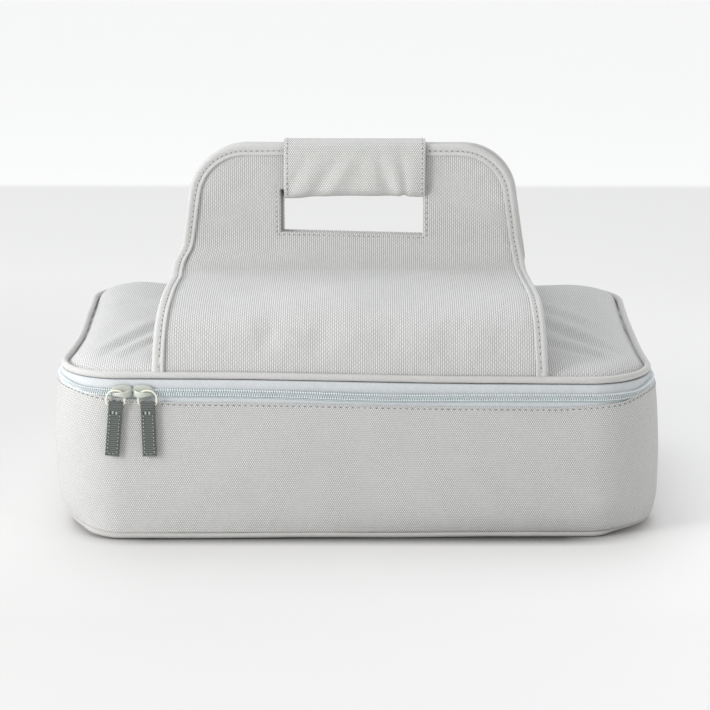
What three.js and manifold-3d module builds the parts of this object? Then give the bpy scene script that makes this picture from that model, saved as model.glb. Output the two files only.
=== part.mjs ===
// Insulated casserole carrier: a padded fabric box with a zipped lid, two bound handle panels
// that rise from the lid's long edges, and a padded wrap that holds the two grips together.
// Millimetres, +Z up. The front faces -Y and the origin is on the table, under the box's centre.
import * as THREE from "three";
import { mergeVertices } from "three/addons/utils/BufferGeometryUtils.js";
import Module from "manifold-3d";

const wasm = await Module();
wasm.setup();

// Plan of the box
const BOX_WIDTH = 420;
const BOX_DEPTH = 285;
const CORNER_RADIUS = 50;
const CORNER_STEPS = 8;

// Layers
const SEAM_GAP = 0.3;
const SHELL_FABRIC = 1.2;
const FOAM = 5;
const LINER = 0.7;
const BASE_BOARD = 2;
const EDGE_TAPE = 0.8;
const ZIP_TAPE = 0.8;

// Wall and base
const WALL_TOP = 95;
const WALL_TUCK = 6;
const WALL_TUCK_HEIGHT = 36;
const BASE_PIPING = 4.3;
const RIM_DEPTH = 9;
const RIM_DROP = 2.6;

// Zip
const ZIP_LOWER_REVEAL = 3.5;
const ZIP_UPPER_REVEAL = 6.3;
const COIL_HEIGHT = 2;
const COIL_THICKNESS = 2.4;
const COIL_GAP = 1.2;
const HINGE_LENGTH = 270;
const HINGE_END_GAP = 1.5;
const ZIP_STOP_WIDTH = 12;
const ZIP_STOP_LAP = 6;

// Lid
const LID_PIPING = 4.7;
const LID_INSET = 1;
const LID_CROWN = 9;
const LID_ROLL = 12;
const LID_SEAM_SHARE = 0.988;
const LID_LINER_CROWN = 5;
const LID_BINDING_WIDTH = 8;

// Handle panels, front and rear alike
const PANEL_CORE = 2;
const PANEL_FABRIC = 0.8;
const PANEL_BASE_WIDTH = 266;
const PANEL_CREASE_WIDTH = 250;
const PANEL_TAPER_DEG = 8.5;
const PANEL_TOP = 250.5;
const PANEL_CORNER = 40;
const CREASE_HEIGHT = 165;
const BINDING_WIDTH = 8;
const HEM_HEIGHT = 5;
const HEM_THICKNESS = 1.4;
const HEM_CLEARANCE = 0.9;
const ARCH_LEAN = 2;
const ARCH_RISE_PULL = 40;
const ARCH_TOP_PULL = 97;
const ARCH_TOP_DROP = 1.8;
const ARCH_STEPS = 16;
const HANDLE_PARTING = 0.6;

// Hand slot and grip wrap
const SLOT_WIDTH = 102.5;
const SLOT_BOTTOM = 188;
const SLOT_TOP = 218.5;
const SLOT_CORNER = 2.5;
const WRAP_END_CLEARANCE = 0.5;
const WRAP_PAD = 2;
const WRAP_CORNER = 5;
const CLOSURE_LENGTH = 90;
const CLOSURE_HEIGHT = 19;
const CLOSURE_RAISE = 2.5;

// Zip sliders with their wire rings and ribbon pulls
const SLIDER_RUN_IN = 1;
const SLIDER_SPACING = 13.5;
const SLIDER_LENGTH = 11;
const SLIDER_HEIGHT = 8.8;
const SLIDER_CORNER = 2.6;
const WING = 1.2;
const BACK_WING_HEIGHT = 7;
const FRONT_WING_CLEARANCE = 0.4;
const BACK_WING_CLEARANCE = 0.75;
const WEDGE_LENGTH = 4;
const BRIDGE_LENGTH = 10;
const BRIDGE_HEIGHT = 1.8;
const BRIDGE_BAR = 1.2;
const BRIDGE_LEG = 1.6;
const EYE_DEPTH = 3.4;
const EYE_RAISE = 0.8;
const RING_WIRE = 1;
const RING_SPAN = 12.4;
const RING_DROP = 7.2;
const RING_RISE = 2.1;
const RING_REACH = 4.2;
const RING_TOP_RADIUS = 3.6;
const RING_FOOT_RADIUS = 1.5;
const PULL_WIDTH = 9.4;
const PULL_LENGTH = 36;
const PULL_RIBBON = 0.9;
const PULL_EYE_CLEARANCE = 0.6;
const LEFT_PULL_TILT_DEG = -5;
const RIGHT_PULL_TILT_DEG = 1;

const DEG = Math.PI / 180;

// Heights of the base stack, from the table up
const baseBoardBottom = SHELL_FABRIC + SEAM_GAP;
const baseFoamBottom = baseBoardBottom + BASE_BOARD + SEAM_GAP;
const baseFoamTop = baseFoamBottom + FOAM;
const floorBottom = baseFoamTop + SEAM_GAP;
const basePipingHeight = SHELL_FABRIC + SEAM_GAP + BASE_PIPING / 2;
const wallBottom = basePipingHeight + BASE_PIPING / 2 + SEAM_GAP;
const baseInset = WALL_TUCK + Math.max(BASE_PIPING / 2, SHELL_FABRIC) + SEAM_GAP;

// Heights of the rim and the zip
const rimLow = WALL_TOP - RIM_DEPTH;
const stackTop = WALL_TOP - RIM_DROP;
const lowerTapeTop = WALL_TOP + ZIP_LOWER_REVEAL;
const lowerCoilBottom = lowerTapeTop + SEAM_GAP;
const lowerCoilTop = lowerCoilBottom + COIL_HEIGHT;
const zipLine = lowerCoilTop + COIL_GAP / 2;
const upperCoilBottom = lowerCoilTop + COIL_GAP;
const upperCoilTop = upperCoilBottom + COIL_HEIGHT;
const upperTapeBottom = upperCoilTop + SEAM_GAP;
const upperTapeTop = upperTapeBottom + ZIP_UPPER_REVEAL;

// Parked places of the sliders, where the front's straight run begins
const leftSliderX = CORNER_RADIUS - BOX_WIDTH / 2 + SLIDER_RUN_IN;
const rightSliderX = leftSliderX + SLIDER_SPACING;

// Depths below the wall's face: zip tape, coil and the layers of the wall
const tapeFront = SHELL_FABRIC + SEAM_GAP;
const tapeBack = tapeFront + ZIP_TAPE;
const coilFront = tapeFront + ZIP_TAPE / 2 - COIL_THICKNESS / 2;
const coilBack = coilFront + COIL_THICKNESS;
const foamFront = SHELL_FABRIC + SEAM_GAP;
const foamBack = foamFront + FOAM;
const linerFront = foamBack + SEAM_GAP;
const linerBack = linerFront + LINER;
const rimTapeFront = tapeBack + SEAM_GAP;
const rimTapeBack = linerBack + SEAM_GAP + EDGE_TAPE;
const rimFoamFront = rimTapeFront + EDGE_TAPE + SEAM_GAP;

// Lid heights and insets
const lidPipingHeight = upperTapeTop + SEAM_GAP + LID_PIPING / 2;
const lidPipingInset = LID_INSET + LID_PIPING / 2;
const lidInset = LID_INSET + LID_PIPING + SEAM_GAP;
const lidPanelBottom = lidPipingHeight - SHELL_FABRIC / 2;
const lidPanelTop = lidPipingHeight + SHELL_FABRIC / 2;
const lidFoamTop = lidPanelBottom - SEAM_GAP;
const lidFoamBottom = lidFoamTop - FOAM;
const lidLinerTop = lidFoamBottom - SEAM_GAP;
const lidLinerBottom = lidLinerTop - LINER;
const lidTapeInset = lidInset - SEAM_GAP - EDGE_TAPE;
const lidTapeBottom = lidLinerBottom - SEAM_GAP - EDGE_TAPE;

// Depths of a handle panel's layers, measured from the middle of its core
const coreHalf = PANEL_CORE / 2;
const skinNear = coreHalf + SEAM_GAP;
const skinFar = skinNear + PANEL_FABRIC;
const bindingNear = skinFar + SEAM_GAP;
const bindingFar = bindingNear + EDGE_TAPE;
const skinInset = EDGE_TAPE + SEAM_GAP;
const handleMiddle = HANDLE_PARTING / 2 + bindingFar;
const archEndHeight = CREASE_HEIGHT - bindingFar;
const uprightBottom = CREASE_HEIGHT + SEAM_GAP;
const hemInset = lidInset - SEAM_GAP / 2;
const hemBottom = lidPanelTop + 2 * SEAM_GAP;
const hemTop = hemBottom + HEM_HEIGHT;

// One closed body from points and triangles, turned so that its faces look outwards
function closedBody(points, faces) {
  let volume = 0;
  for (let i = 0; i < faces.length; i += 3) {
    const a = points[faces[i]];
    const b = points[faces[i + 1]];
    const c = points[faces[i + 2]];
    volume += a.dot(b.clone().cross(c));
  }
  const order = volume < 0 ? faces.slice().reverse() : faces;
  const geometry = new THREE.BufferGeometry().setFromPoints(points);
  geometry.setIndex(order);
  return geometry;
}

// Triangles that close a flat outline, all turned the same way as the outline itself
function capFaces(outline) {
  const turn = Math.sign(THREE.ShapeUtils.area(outline));
  return THREE.ShapeUtils.triangulateShape(outline, []).map((face) => {
    const side = THREE.ShapeUtils.area(face.map((i) => outline[i]));
    return Math.sign(side) === turn ? face : face.slice().reverse();
  });
}

// A body through equal rings of points. An open row of rings is capped with the given outline.
function loft(rings, capOutline) {
  const count = rings[0].length;
  const faces = [];
  const spans = capOutline ? rings.length - 1 : rings.length;
  for (let i = 0; i < spans; i += 1) {
    const here = i * count;
    const next = ((i + 1) % rings.length) * count;
    for (let j = 0; j < count; j += 1) {
      const k = (j + 1) % count;
      faces.push(here + j, next + j, next + k);
      faces.push(here + j, next + k, here + k);
    }
  }
  if (capOutline) {
    const last = (rings.length - 1) * count;
    for (const [a, b, c] of capFaces(capOutline)) {
      faces.push(a, b, c);
      faces.push(last + c, last + b, last + a);
    }
  }
  return closedBody(rings.flat(), faces);
}

// The same geometry with only its positions, shared vertices merged
function bare(geometry) {
  const copy = geometry.clone();
  copy.deleteAttribute("normal");
  copy.deleteAttribute("uv");
  return mergeVertices(copy, 1e-4);
}

function mirrored(geometry, x, y) {
  const copy = bare(geometry);
  copy.applyMatrix4(new THREE.Matrix4().makeScale(x, y, 1));
  if (x * y < 0) {
    copy.setIndex(Array.from(copy.index.array).reverse());
  }
  return copy;
}

// Several overlapping geometries joined into one body
function joined(geometries) {
  const solids = geometries.map((geometry) => {
    const plain = bare(geometry);
    const mesh = new wasm.Mesh({
      numProp: 3,
      vertProperties: plain.attributes.position.array,
      triVerts: new Uint32Array(plain.index.array),
    });
    return new wasm.Manifold(mesh);
  });
  const mesh = solids.reduce((sum, solid) => sum.add(solid)).getMesh();
  const geometry = new THREE.BufferGeometry();
  geometry.setAttribute("position", new THREE.BufferAttribute(mesh.vertProperties, 3));
  geometry.setIndex(new THREE.BufferAttribute(mesh.triVerts, 1));
  return geometry;
}

function extruded(shape, depth, curveSegments = 6) {
  return new THREE.ExtrudeGeometry(shape, { depth, bevelEnabled: false, curveSegments, steps: 1 });
}

// A Y-Z profile drawn out along X, centred on the given x
function extrudedAlongX(shape, length, centreX) {
  const geometry = extruded(shape, length);
  const across = new THREE.Matrix4().makeBasis(
    new THREE.Vector3(0, 1, 0),
    new THREE.Vector3(0, 0, 1),
    new THREE.Vector3(1, 0, 0),
  );
  geometry.applyMatrix4(across);
  geometry.translate(centreX - length / 2, 0, 0);
  return geometry;
}

// An X-Z shape drawn out along Y, from nearY towards the back
function extrudedAlongY(shape, nearY, depth) {
  const geometry = extruded(shape, depth);
  geometry.rotateX(Math.PI / 2);
  geometry.translate(0, nearY + depth, 0);
  return geometry;
}

function arc(x, y, radius, from, to, steps) {
  const points = [];
  for (let i = 0; i <= steps; i += 1) {
    const angle = from + ((to - from) * i) / steps;
    points.push(new THREE.Vector2(x + radius * Math.cos(angle), y + radius * Math.sin(angle)));
  }
  return points;
}

function roundedRectangle(left, bottom, right, top, radius) {
  const shape = new THREE.Shape();
  shape.absarc(right - radius, bottom + radius, radius, -Math.PI / 2, 0, false);
  shape.absarc(right - radius, top - radius, radius, 0, Math.PI / 2, false);
  shape.absarc(left + radius, top - radius, radius, Math.PI / 2, Math.PI, false);
  shape.absarc(left + radius, bottom + radius, radius, Math.PI, Math.PI * 1.5, false);
  return shape;
}

// Stations round the box's plan from back left over the front to back right, with outward normals
function cornerStations() {
  const x = BOX_WIDTH / 2 - CORNER_RADIUS;
  const y = BOX_DEPTH / 2 - CORNER_RADIUS;
  const centres = [
    [-x, y, Math.PI / 2],
    [-x, -y, Math.PI],
    [x, -y, Math.PI * 1.5],
    [x, y, 0],
  ];
  return centres.flatMap(([cx, cy, from]) => {
    const stations = [];
    for (let i = 0; i <= CORNER_STEPS; i += 1) {
      const angle = from + ((Math.PI / 2) * i) / CORNER_STEPS;
      const nx = Math.cos(angle);
      const ny = Math.sin(angle);
      stations.push({ x: cx + CORNER_RADIUS * nx, y: cy + CORNER_RADIUS * ny, nx, ny });
    }
    return stations;
  });
}

const aroundBox = cornerStations();
const zipEnd = HINGE_LENGTH / 2 + HINGE_END_GAP;
const alongZip = [
  { x: -zipEnd, y: BOX_DEPTH / 2, nx: 0, ny: 1 },
  ...aroundBox,
  { x: zipEnd, y: BOX_DEPTH / 2, nx: 0, ny: 1 },
];

// A section of [depth below the wall's face, height] pairs carried round the box
function carriedRound(section, stations, closed) {
  const rings = stations.map((s) =>
    section.map(([depth, z]) => new THREE.Vector3(s.x - s.nx * depth, s.y - s.ny * depth, z)),
  );
  return loft(rings, closed ? null : section.map(([depth, z]) => new THREE.Vector2(depth, z)));
}

function box(front, back, bottom, top) {
  return [
    [front, bottom],
    [back, bottom],
    [back, top],
    [front, top],
  ];
}

function roundSection(depth, height, diameter, sides) {
  const last = Math.PI * 2 * (1 - 1 / sides);
  return arc(depth, height, diameter / 2, 0, last, sides - 1).map((p) => [p.x, p.y]);
}

function plan(inset) {
  return aroundBox.map((s) => new THREE.Vector2(s.x - s.nx * inset, s.y - s.ny * inset));
}

function slab(inset, bottom, top) {
  const geometry = extruded(new THREE.Shape(plan(inset)), top - bottom);
  geometry.translate(0, 0, bottom);
  return geometry;
}

// How far the padded lid stands above its seam: flat beside the seam, then rolled over like a pillow
function lidRise(share) {
  return LID_CROWN * (1 - Math.min(1, share / LID_SEAM_SHARE) ** LID_ROLL);
}

// How far the lining inside the lid bows upwards
function linerRise(share) {
  return LID_LINER_CROWN * (1 - share * share);
}

// A lid layer whose two faces rise towards the middle of the box
function crownedLayer(inset, bottom, bottomRise, top, topRise) {
  const outline = plan(inset);
  const shares = [0.4, 0.75, 0.87, 0.93, 0.965, LID_SEAM_SHARE, 1];
  const level = (share, z) => outline.map((p) => new THREE.Vector3(p.x * share, p.y * share, z));
  const under = shares.map((share) => level(share, bottom + bottomRise(share)));
  const over = shares.map((share) => level(share, top + topRise(share))).reverse();
  return loft([...under, ...over], outline);
}

// How far the wall draws in towards its bottom seam
function tuckAt(z) {
  const share = THREE.MathUtils.clamp((z - wallBottom) / WALL_TUCK_HEIGHT, 0, 1);
  return WALL_TUCK * (1 - share) ** 2;
}

// A wall layer between two depths that follows the tuck at the bottom
function wallLayer(front, back, bottom, top) {
  const bends = [0.25, 0.55, 1].map((share) => wallBottom + WALL_TUCK_HEIGHT * share);
  const heights = [bottom, ...bends, top];
  const outside = heights.map((z) => [front + tuckAt(z), z]);
  const inside = heights.map((z) => [back + tuckAt(z), z]).reverse();
  return [...outside, ...inside];
}

// Wall foam, thinner behind the zip tape and the rim binding
function wallFoamSection() {
  const section = wallLayer(foamFront, foamBack, floorBottom, rimLow - 2 * SEAM_GAP - FOAM / 2);
  const shoulder = section.length / 2;
  const rim = [
    [rimFoamFront, rimLow - SEAM_GAP],
    [rimFoamFront, stackTop],
    [foamBack, stackTop],
  ];
  return [...section.slice(0, shoulder), ...rim, ...section.slice(shoulder + 1)];
}

// The binding that folds over the tops of the wall foam and the liner
function rimBindingSection() {
  const top = stackTop + SEAM_GAP + EDGE_TAPE;
  const roof = stackTop + SEAM_GAP;
  return [
    [rimTapeFront, rimLow],
    [rimTapeFront, top],
    [rimTapeBack, top],
    [rimTapeBack, rimLow],
    [rimTapeBack - EDGE_TAPE, rimLow],
    [rimTapeBack - EDGE_TAPE, roof],
    [rimTapeFront + EDGE_TAPE, roof],
    [rimTapeFront + EDGE_TAPE, rimLow],
  ];
}

// The binding that folds round the lower edge of the lid's foam and liner
function lidBindingSection() {
  return [
    [lidTapeInset, lidTapeBottom],
    [lidTapeInset + LID_BINDING_WIDTH, lidTapeBottom],
    [lidTapeInset + LID_BINDING_WIDTH, lidTapeBottom + EDGE_TAPE],
    [lidTapeInset + EDGE_TAPE, lidTapeBottom + EDGE_TAPE],
    [lidTapeInset + EDGE_TAPE, upperTapeTop],
    [lidTapeInset, upperTapeTop],
  ];
}

// A flat strip across the box's back, between two heights
function hingeStrip(bottom, top) {
  const strip = new THREE.Shape([
    new THREE.Vector2(BOX_DEPTH / 2 - tapeBack, bottom),
    new THREE.Vector2(BOX_DEPTH / 2 - tapeFront, bottom),
    new THREE.Vector2(BOX_DEPTH / 2 - tapeFront, top),
    new THREE.Vector2(BOX_DEPTH / 2 - tapeBack, top),
  ]);
  return extrudedAlongX(strip, HINGE_LENGTH, 0);
}

// A small fabric patch on the outside of the wall that closes off one end of the zip
function zipStop(side) {
  const patch = new THREE.Shape([
    new THREE.Vector2(BOX_DEPTH / 2 + SEAM_GAP, WALL_TOP - ZIP_STOP_LAP),
    new THREE.Vector2(BOX_DEPTH / 2 + SEAM_GAP + EDGE_TAPE, WALL_TOP - ZIP_STOP_LAP),
    new THREE.Vector2(BOX_DEPTH / 2 + SEAM_GAP + EDGE_TAPE, lowerCoilTop),
    new THREE.Vector2(BOX_DEPTH / 2 + SEAM_GAP, lowerCoilTop),
  ]);
  return extrudedAlongX(patch, ZIP_STOP_WIDTH, side * zipEnd);
}

// The hem that stands in the lid's seam and carries one handle panel (drawn for the front)
function seamHem() {
  const y = -BOX_DEPTH / 2 + hemInset;
  const hem = new THREE.Shape([
    new THREE.Vector2(y, hemBottom),
    new THREE.Vector2(y + HEM_THICKNESS, hemBottom),
    new THREE.Vector2(y + HEM_THICKNESS, hemTop),
    new THREE.Vector2(y, hemTop),
  ]);
  return extrudedAlongX(hem, PANEL_BASE_WIDTH, 0);
}

// Stations up the middle of the panel's arch, from the lid's seam to the crease
function archStations() {
  const foot = new THREE.Vector2(-BOX_DEPTH / 2 + hemInset + HEM_THICKNESS / 2, hemTop + HEM_CLEARANCE);
  const head = new THREE.Vector2(-HANDLE_PARTING / 2, archEndHeight);
  const curve = new THREE.CubicBezierCurve(
    foot,
    new THREE.Vector2(foot.x + ARCH_LEAN, foot.y + ARCH_RISE_PULL),
    new THREE.Vector2(head.x - ARCH_TOP_PULL, head.y - ARCH_TOP_DROP),
    head,
  );
  const stations = [];
  for (let i = 0; i <= ARCH_STEPS; i += 1) {
    const share = i / ARCH_STEPS;
    const point = curve.getPointAt(share);
    const tangent = curve.getTangentAt(share);
    const halfWidth = THREE.MathUtils.lerp(PANEL_BASE_WIDTH, PANEL_CREASE_WIDTH, share) / 2;
    stations.push({ y: point.x, z: point.y, ny: -tangent.y, nz: tangent.x, halfWidth });
  }
  const end = stations[ARCH_STEPS];
  end.ny = 0;
  end.nz = 1;
  return stations;
}

const arch = archStations();

// One layer of the arched panel between two depths, positive towards the outside
function archLayer(near, far) {
  const corners = [
    [-1, near],
    [1, near],
    [1, far],
    [-1, far],
  ];
  const rings = arch.map((s) =>
    corners.map(
      ([side, depth]) =>
        new THREE.Vector3(side * (s.halfWidth - skinInset), s.y + s.ny * depth, s.z + s.nz * depth),
    ),
  );
  return loft(rings, corners.map(([side, depth]) => new THREE.Vector2(side, depth)));
}

// The folded binding's section: [distance in from the panel's edge, depth]
const bindingSection = [
  [0, -bindingFar],
  [BINDING_WIDTH, -bindingFar],
  [BINDING_WIDTH, -bindingNear],
  [EDGE_TAPE, -bindingNear],
  [EDGE_TAPE, bindingNear],
  [BINDING_WIDTH, bindingNear],
  [BINDING_WIDTH, bindingFar],
  [0, bindingFar],
];
const bindingOutline = bindingSection.map(([u, n]) => new THREE.Vector2(u, n));

function archBinding(side) {
  const rings = arch.map((s) =>
    bindingSection.map(
      ([inward, depth]) =>
        new THREE.Vector3(side * (s.halfWidth - inward), s.y + s.ny * depth, s.z + s.nz * depth),
    ),
  );
  return loft(rings, bindingOutline);
}

// Stations up the left edge of the upright, round both top corners and down the right edge
function uprightStations() {
  const taper = PANEL_TAPER_DEG * DEG;
  const half = PANEL_CREASE_WIDTH / 2;
  const centreZ = PANEL_TOP - PANEL_CORNER;
  const lean = (centreZ - uprightBottom) * Math.sin(taper);
  const centreX = half - (PANEL_CORNER + lean) / Math.cos(taper);
  const right = [{ x: half, z: uprightBottom, ux: -1 / Math.cos(taper), uz: 0 }];
  for (let i = 0; i <= CORNER_STEPS; i += 1) {
    const angle = taper + ((Math.PI / 2 - taper) * i) / CORNER_STEPS;
    const cos = Math.cos(angle);
    const sin = Math.sin(angle);
    right.push({ x: centreX + PANEL_CORNER * cos, z: centreZ + PANEL_CORNER * sin, ux: -cos, uz: -sin });
  }
  const left = right.map((s) => ({ x: -s.x, z: s.z, ux: -s.ux, uz: s.uz }));
  return [...left, ...right.reverse()];
}

const uprightEdge = uprightStations();

function uprightBinding() {
  const rings = uprightEdge.map((s) =>
    bindingSection.map(
      ([inward, depth]) =>
        new THREE.Vector3(s.x + s.ux * inward, -handleMiddle - depth, s.z + s.uz * inward),
    ),
  );
  return loft(rings, bindingOutline);
}

// The hand slot, square at the top, where the wrap passes through it, and rounded below
function handSlot() {
  const half = SLOT_WIDTH / 2;
  const low = SLOT_BOTTOM + SLOT_CORNER;
  return new THREE.Path([
    new THREE.Vector2(half, SLOT_TOP),
    new THREE.Vector2(-half, SLOT_TOP),
    ...arc(-half + SLOT_CORNER, low, SLOT_CORNER, Math.PI, Math.PI * 1.5, 6),
    ...arc(half - SLOT_CORNER, low, SLOT_CORNER, Math.PI * 1.5, Math.PI * 2, 6),
  ]);
}

// One layer of the upright with its hand slot, between two depths
function uprightLayer(near, far) {
  const outline = uprightEdge.map((s) => new THREE.Vector2(s.x + s.ux * skinInset, s.z + s.uz * skinInset));
  const shape = new THREE.Shape(outline);
  shape.holes.push(handSlot());
  return extrudedAlongY(shape, -handleMiddle - far, far - near);
}

// Half of the grip wrap: a C that reaches from the parting plane round the front of the grip
function wrapLayer(clear, thickness, innerRadius, outerRadius) {
  const parting = -HANDLE_PARTING / 2;
  const inner = {
    front: -handleMiddle - bindingFar - clear,
    top: PANEL_TOP + clear,
    bottom: SLOT_TOP - clear,
  };
  const outer = {
    front: inner.front - thickness,
    top: inner.top + thickness,
    bottom: inner.bottom - thickness,
  };
  const outside = [
    new THREE.Vector2(parting, outer.top),
    ...arc(outer.front + outerRadius, outer.top - outerRadius, outerRadius, Math.PI / 2, Math.PI, 5),
    ...arc(outer.front + outerRadius, outer.bottom + outerRadius, outerRadius, Math.PI, Math.PI * 1.5, 5),
    new THREE.Vector2(parting, outer.bottom),
  ];
  const inside = [
    new THREE.Vector2(parting, inner.top),
    ...arc(inner.front + innerRadius, inner.top - innerRadius, innerRadius, Math.PI / 2, Math.PI, 3),
    ...arc(inner.front + innerRadius, inner.bottom + innerRadius, innerRadius, Math.PI, Math.PI * 1.5, 3),
    new THREE.Vector2(parting, inner.bottom),
  ];
  const shape = new THREE.Shape([...outside, ...inside.reverse()]);
  return extrudedAlongX(shape, SLOT_WIDTH - 2 * WRAP_END_CLEARANCE, 0);
}

// A closure strip on the face of the grip that looks at the other handle
function closureStrip() {
  const bottom = SLOT_TOP + CLOSURE_RAISE;
  const back = -HANDLE_PARTING / 2;
  const strip = new THREE.Shape([
    new THREE.Vector2(back - EDGE_TAPE, bottom),
    new THREE.Vector2(back, bottom),
    new THREE.Vector2(back, bottom + CLOSURE_HEIGHT),
    new THREE.Vector2(back - EDGE_TAPE, bottom + CLOSURE_HEIGHT),
  ]);
  return extrudedAlongX(strip, CLOSURE_LENGTH, 0);
}

// Slider frame: x along the zip, y = 0 on the wall's face, z = 0 on the zip line
const wingBack = coilFront - FRONT_WING_CLEARANCE;
const wingFace = wingBack - WING;
const backWingFront = coilBack + BACK_WING_CLEARANCE;
const ringPlane = wingFace - EYE_DEPTH / 2;
const ringFoot = EYE_RAISE - RING_DROP;

// A slider whose nose points along +x times nose: two wings, a wedge between them and a bridge
function slider(nose) {
  const halfLength = SLIDER_LENGTH / 2;
  const halfHeight = SLIDER_HEIGHT / 2;
  const halfBack = BACK_WING_HEIGHT / 2;
  const frontWing = extrudedAlongY(
    roundedRectangle(-halfLength, -halfHeight, halfLength, halfHeight, SLIDER_CORNER),
    wingFace,
    WING,
  );
  const backWing = extrudedAlongY(
    roundedRectangle(-halfLength, -halfBack, halfLength, halfBack, SLIDER_CORNER),
    backWingFront,
    WING,
  );
  const wedgeHalf = COIL_GAP / 2 - SEAM_GAP;
  const wedgeShape = new THREE.Shape([
    new THREE.Vector2(halfLength - WEDGE_LENGTH, 0),
    new THREE.Vector2(halfLength - WEDGE_LENGTH / 2, -wedgeHalf),
    new THREE.Vector2(halfLength, -wedgeHalf),
    new THREE.Vector2(halfLength, wedgeHalf),
    new THREE.Vector2(halfLength - WEDGE_LENGTH / 2, wedgeHalf),
  ]);
  const wedge = extrudedAlongY(wedgeShape, wingFace + WING / 2, backWingFront - wingFace);
  const eye = wingFace - EYE_DEPTH;
  const crown = eye - BRIDGE_BAR;
  const half = BRIDGE_LENGTH / 2;
  const bridgeShape = new THREE.Shape([
    new THREE.Vector2(-half, wingFace + WING / 2),
    new THREE.Vector2(-half, eye),
    new THREE.Vector2(-half + BRIDGE_LEG, crown),
    new THREE.Vector2(half - BRIDGE_LEG, crown),
    new THREE.Vector2(half, eye),
    new THREE.Vector2(half, wingFace + WING / 2),
    new THREE.Vector2(half - BRIDGE_LEG, wingFace + WING / 2),
    new THREE.Vector2(half - BRIDGE_LEG, eye),
    new THREE.Vector2(-half + BRIDGE_LEG, eye),
    new THREE.Vector2(-half + BRIDGE_LEG, wingFace + WING / 2),
  ]);
  const bridge = extruded(bridgeShape, BRIDGE_HEIGHT);
  bridge.translate(0, 0, EYE_RAISE - BRIDGE_HEIGHT / 2);
  return mirrored(joined([frontWing, backWing, wedge, bridge]), nose, 1);
}

// The wire ring that hangs in the slider's eye, on the side away from the nose
function pullRing(nose) {
  const half = RING_SPAN / 2;
  const centre = -nose * RING_REACH;
  const top = EYE_RAISE + RING_RISE;
  const corners = [
    [half - RING_FOOT_RADIUS, ringFoot + RING_FOOT_RADIUS, RING_FOOT_RADIUS, -Math.PI / 2],
    [half - RING_TOP_RADIUS, top - RING_TOP_RADIUS, RING_TOP_RADIUS, 0],
    [-half + RING_TOP_RADIUS, top - RING_TOP_RADIUS, RING_TOP_RADIUS, Math.PI / 2],
    [-half + RING_FOOT_RADIUS, ringFoot + RING_FOOT_RADIUS, RING_FOOT_RADIUS, Math.PI],
  ];
  const section = arc(0, 0, RING_WIRE / 2, 0, (Math.PI * 2 * 7) / 8, 7);
  const rings = corners.flatMap(([x, z, radius, from]) =>
    arc(0, 0, 1, from, from + Math.PI / 2, 5).map((n) =>
      section.map(
        (p) =>
          new THREE.Vector3(
            centre + x + n.x * (radius + p.x),
            ringPlane + p.y,
            z + n.y * (radius + p.x),
          ),
      ),
    ),
  );
  return loft(rings, null);
}

// The ribbon pull: a loop round the ring's foot with both ends sewn flat below it. The loop's
// middle is the pull's own origin.
function ribbonPull() {
  const hole = RING_WIRE / 2 + PULL_EYE_CLEARANCE;
  const loop = hole + PULL_RIBBON;
  const meet = Math.asin(PULL_RIBBON / loop);
  const shape = new THREE.Shape([
    new THREE.Vector2(-PULL_RIBBON, -PULL_LENGTH),
    new THREE.Vector2(PULL_RIBBON, -PULL_LENGTH),
    ...arc(0, 0, loop, -Math.PI / 2 + meet, Math.PI * 1.5 - meet, 14),
  ]);
  const eye = new THREE.Path();
  eye.absarc(0, 0, hole, 0, Math.PI * 2, false);
  shape.holes.push(eye);
  return extrudedAlongX(shape, PULL_WIDTH, 0);
}

// Looks
const GREY_FABRIC = { color: 0xcacac8, roughness: 0.95 };
const PIPING_FABRIC = { color: 0xc8c7c5, roughness: 0.9 };
const BINDING_FABRIC = { color: 0xcbcbca, roughness: 0.85 };
const LINING = { color: 0xb9bdc0, roughness: 0.6 };
const PADDING = { color: 0xe8e8e4, roughness: 1 };
const STIFFENER = { color: 0xd8d4c8, roughness: 0.8 };
const ZIP_FABRIC = { color: 0xcdd1d3, roughness: 0.9 };
const COIL_NYLON = { color: 0xb8c0c2, roughness: 0.5 };
const ENAMEL = { color: 0xc8c9bf, roughness: 0.35, metalness: 0.2 };
const WIRE = { color: 0xb4b6b2, roughness: 0.3, metalness: 0.8 };
const RIBBON = { color: 0x686d69, roughness: 0.9 };
const HOOK_AND_LOOP = { color: 0xbcbcba, roughness: 1 };

function piece(group, name, geometry, look) {
  const mesh = new THREE.Mesh(bare(geometry), new THREE.MeshStandardMaterial({ metalness: 0, ...look }));
  mesh.name = name;
  group.add(mesh);
  return mesh;
}

const carrier = new THREE.Group();

const tub = new THREE.Group();
carrier.add(tub);
piece(tub, "base_panel", slab(WALL_TUCK, 0, SHELL_FABRIC), GREY_FABRIC);
piece(tub, "base_board", slab(baseInset, baseBoardBottom, baseBoardBottom + BASE_BOARD), STIFFENER);
piece(tub, "base_foam", slab(baseInset, baseFoamBottom, baseFoamTop), PADDING);
const linerWall = wallLayer(linerFront, linerBack, floorBottom, stackTop);
const linerFloorInset = linerBack + tuckAt(floorBottom) + SEAM_GAP;
piece(tub, "tub_liner", carriedRound(linerWall, aroundBox, true), LINING);
piece(tub, "liner_floor", slab(linerFloorInset, floorBottom, floorBottom + LINER), LINING);
piece(tub, "wall_foam", carriedRound(wallFoamSection(), aroundBox, true), PADDING);
piece(
  tub,
  "wall_fabric",
  carriedRound(wallLayer(0, SHELL_FABRIC, wallBottom, WALL_TOP), aroundBox, true),
  GREY_FABRIC,
);
piece(
  tub,
  "base_piping",
  carriedRound(roundSection(WALL_TUCK, basePipingHeight, BASE_PIPING, 8), aroundBox, true),
  PIPING_FABRIC,
);
piece(tub, "tub_rim_binding", carriedRound(rimBindingSection(), aroundBox, true), BINDING_FABRIC);
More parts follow.
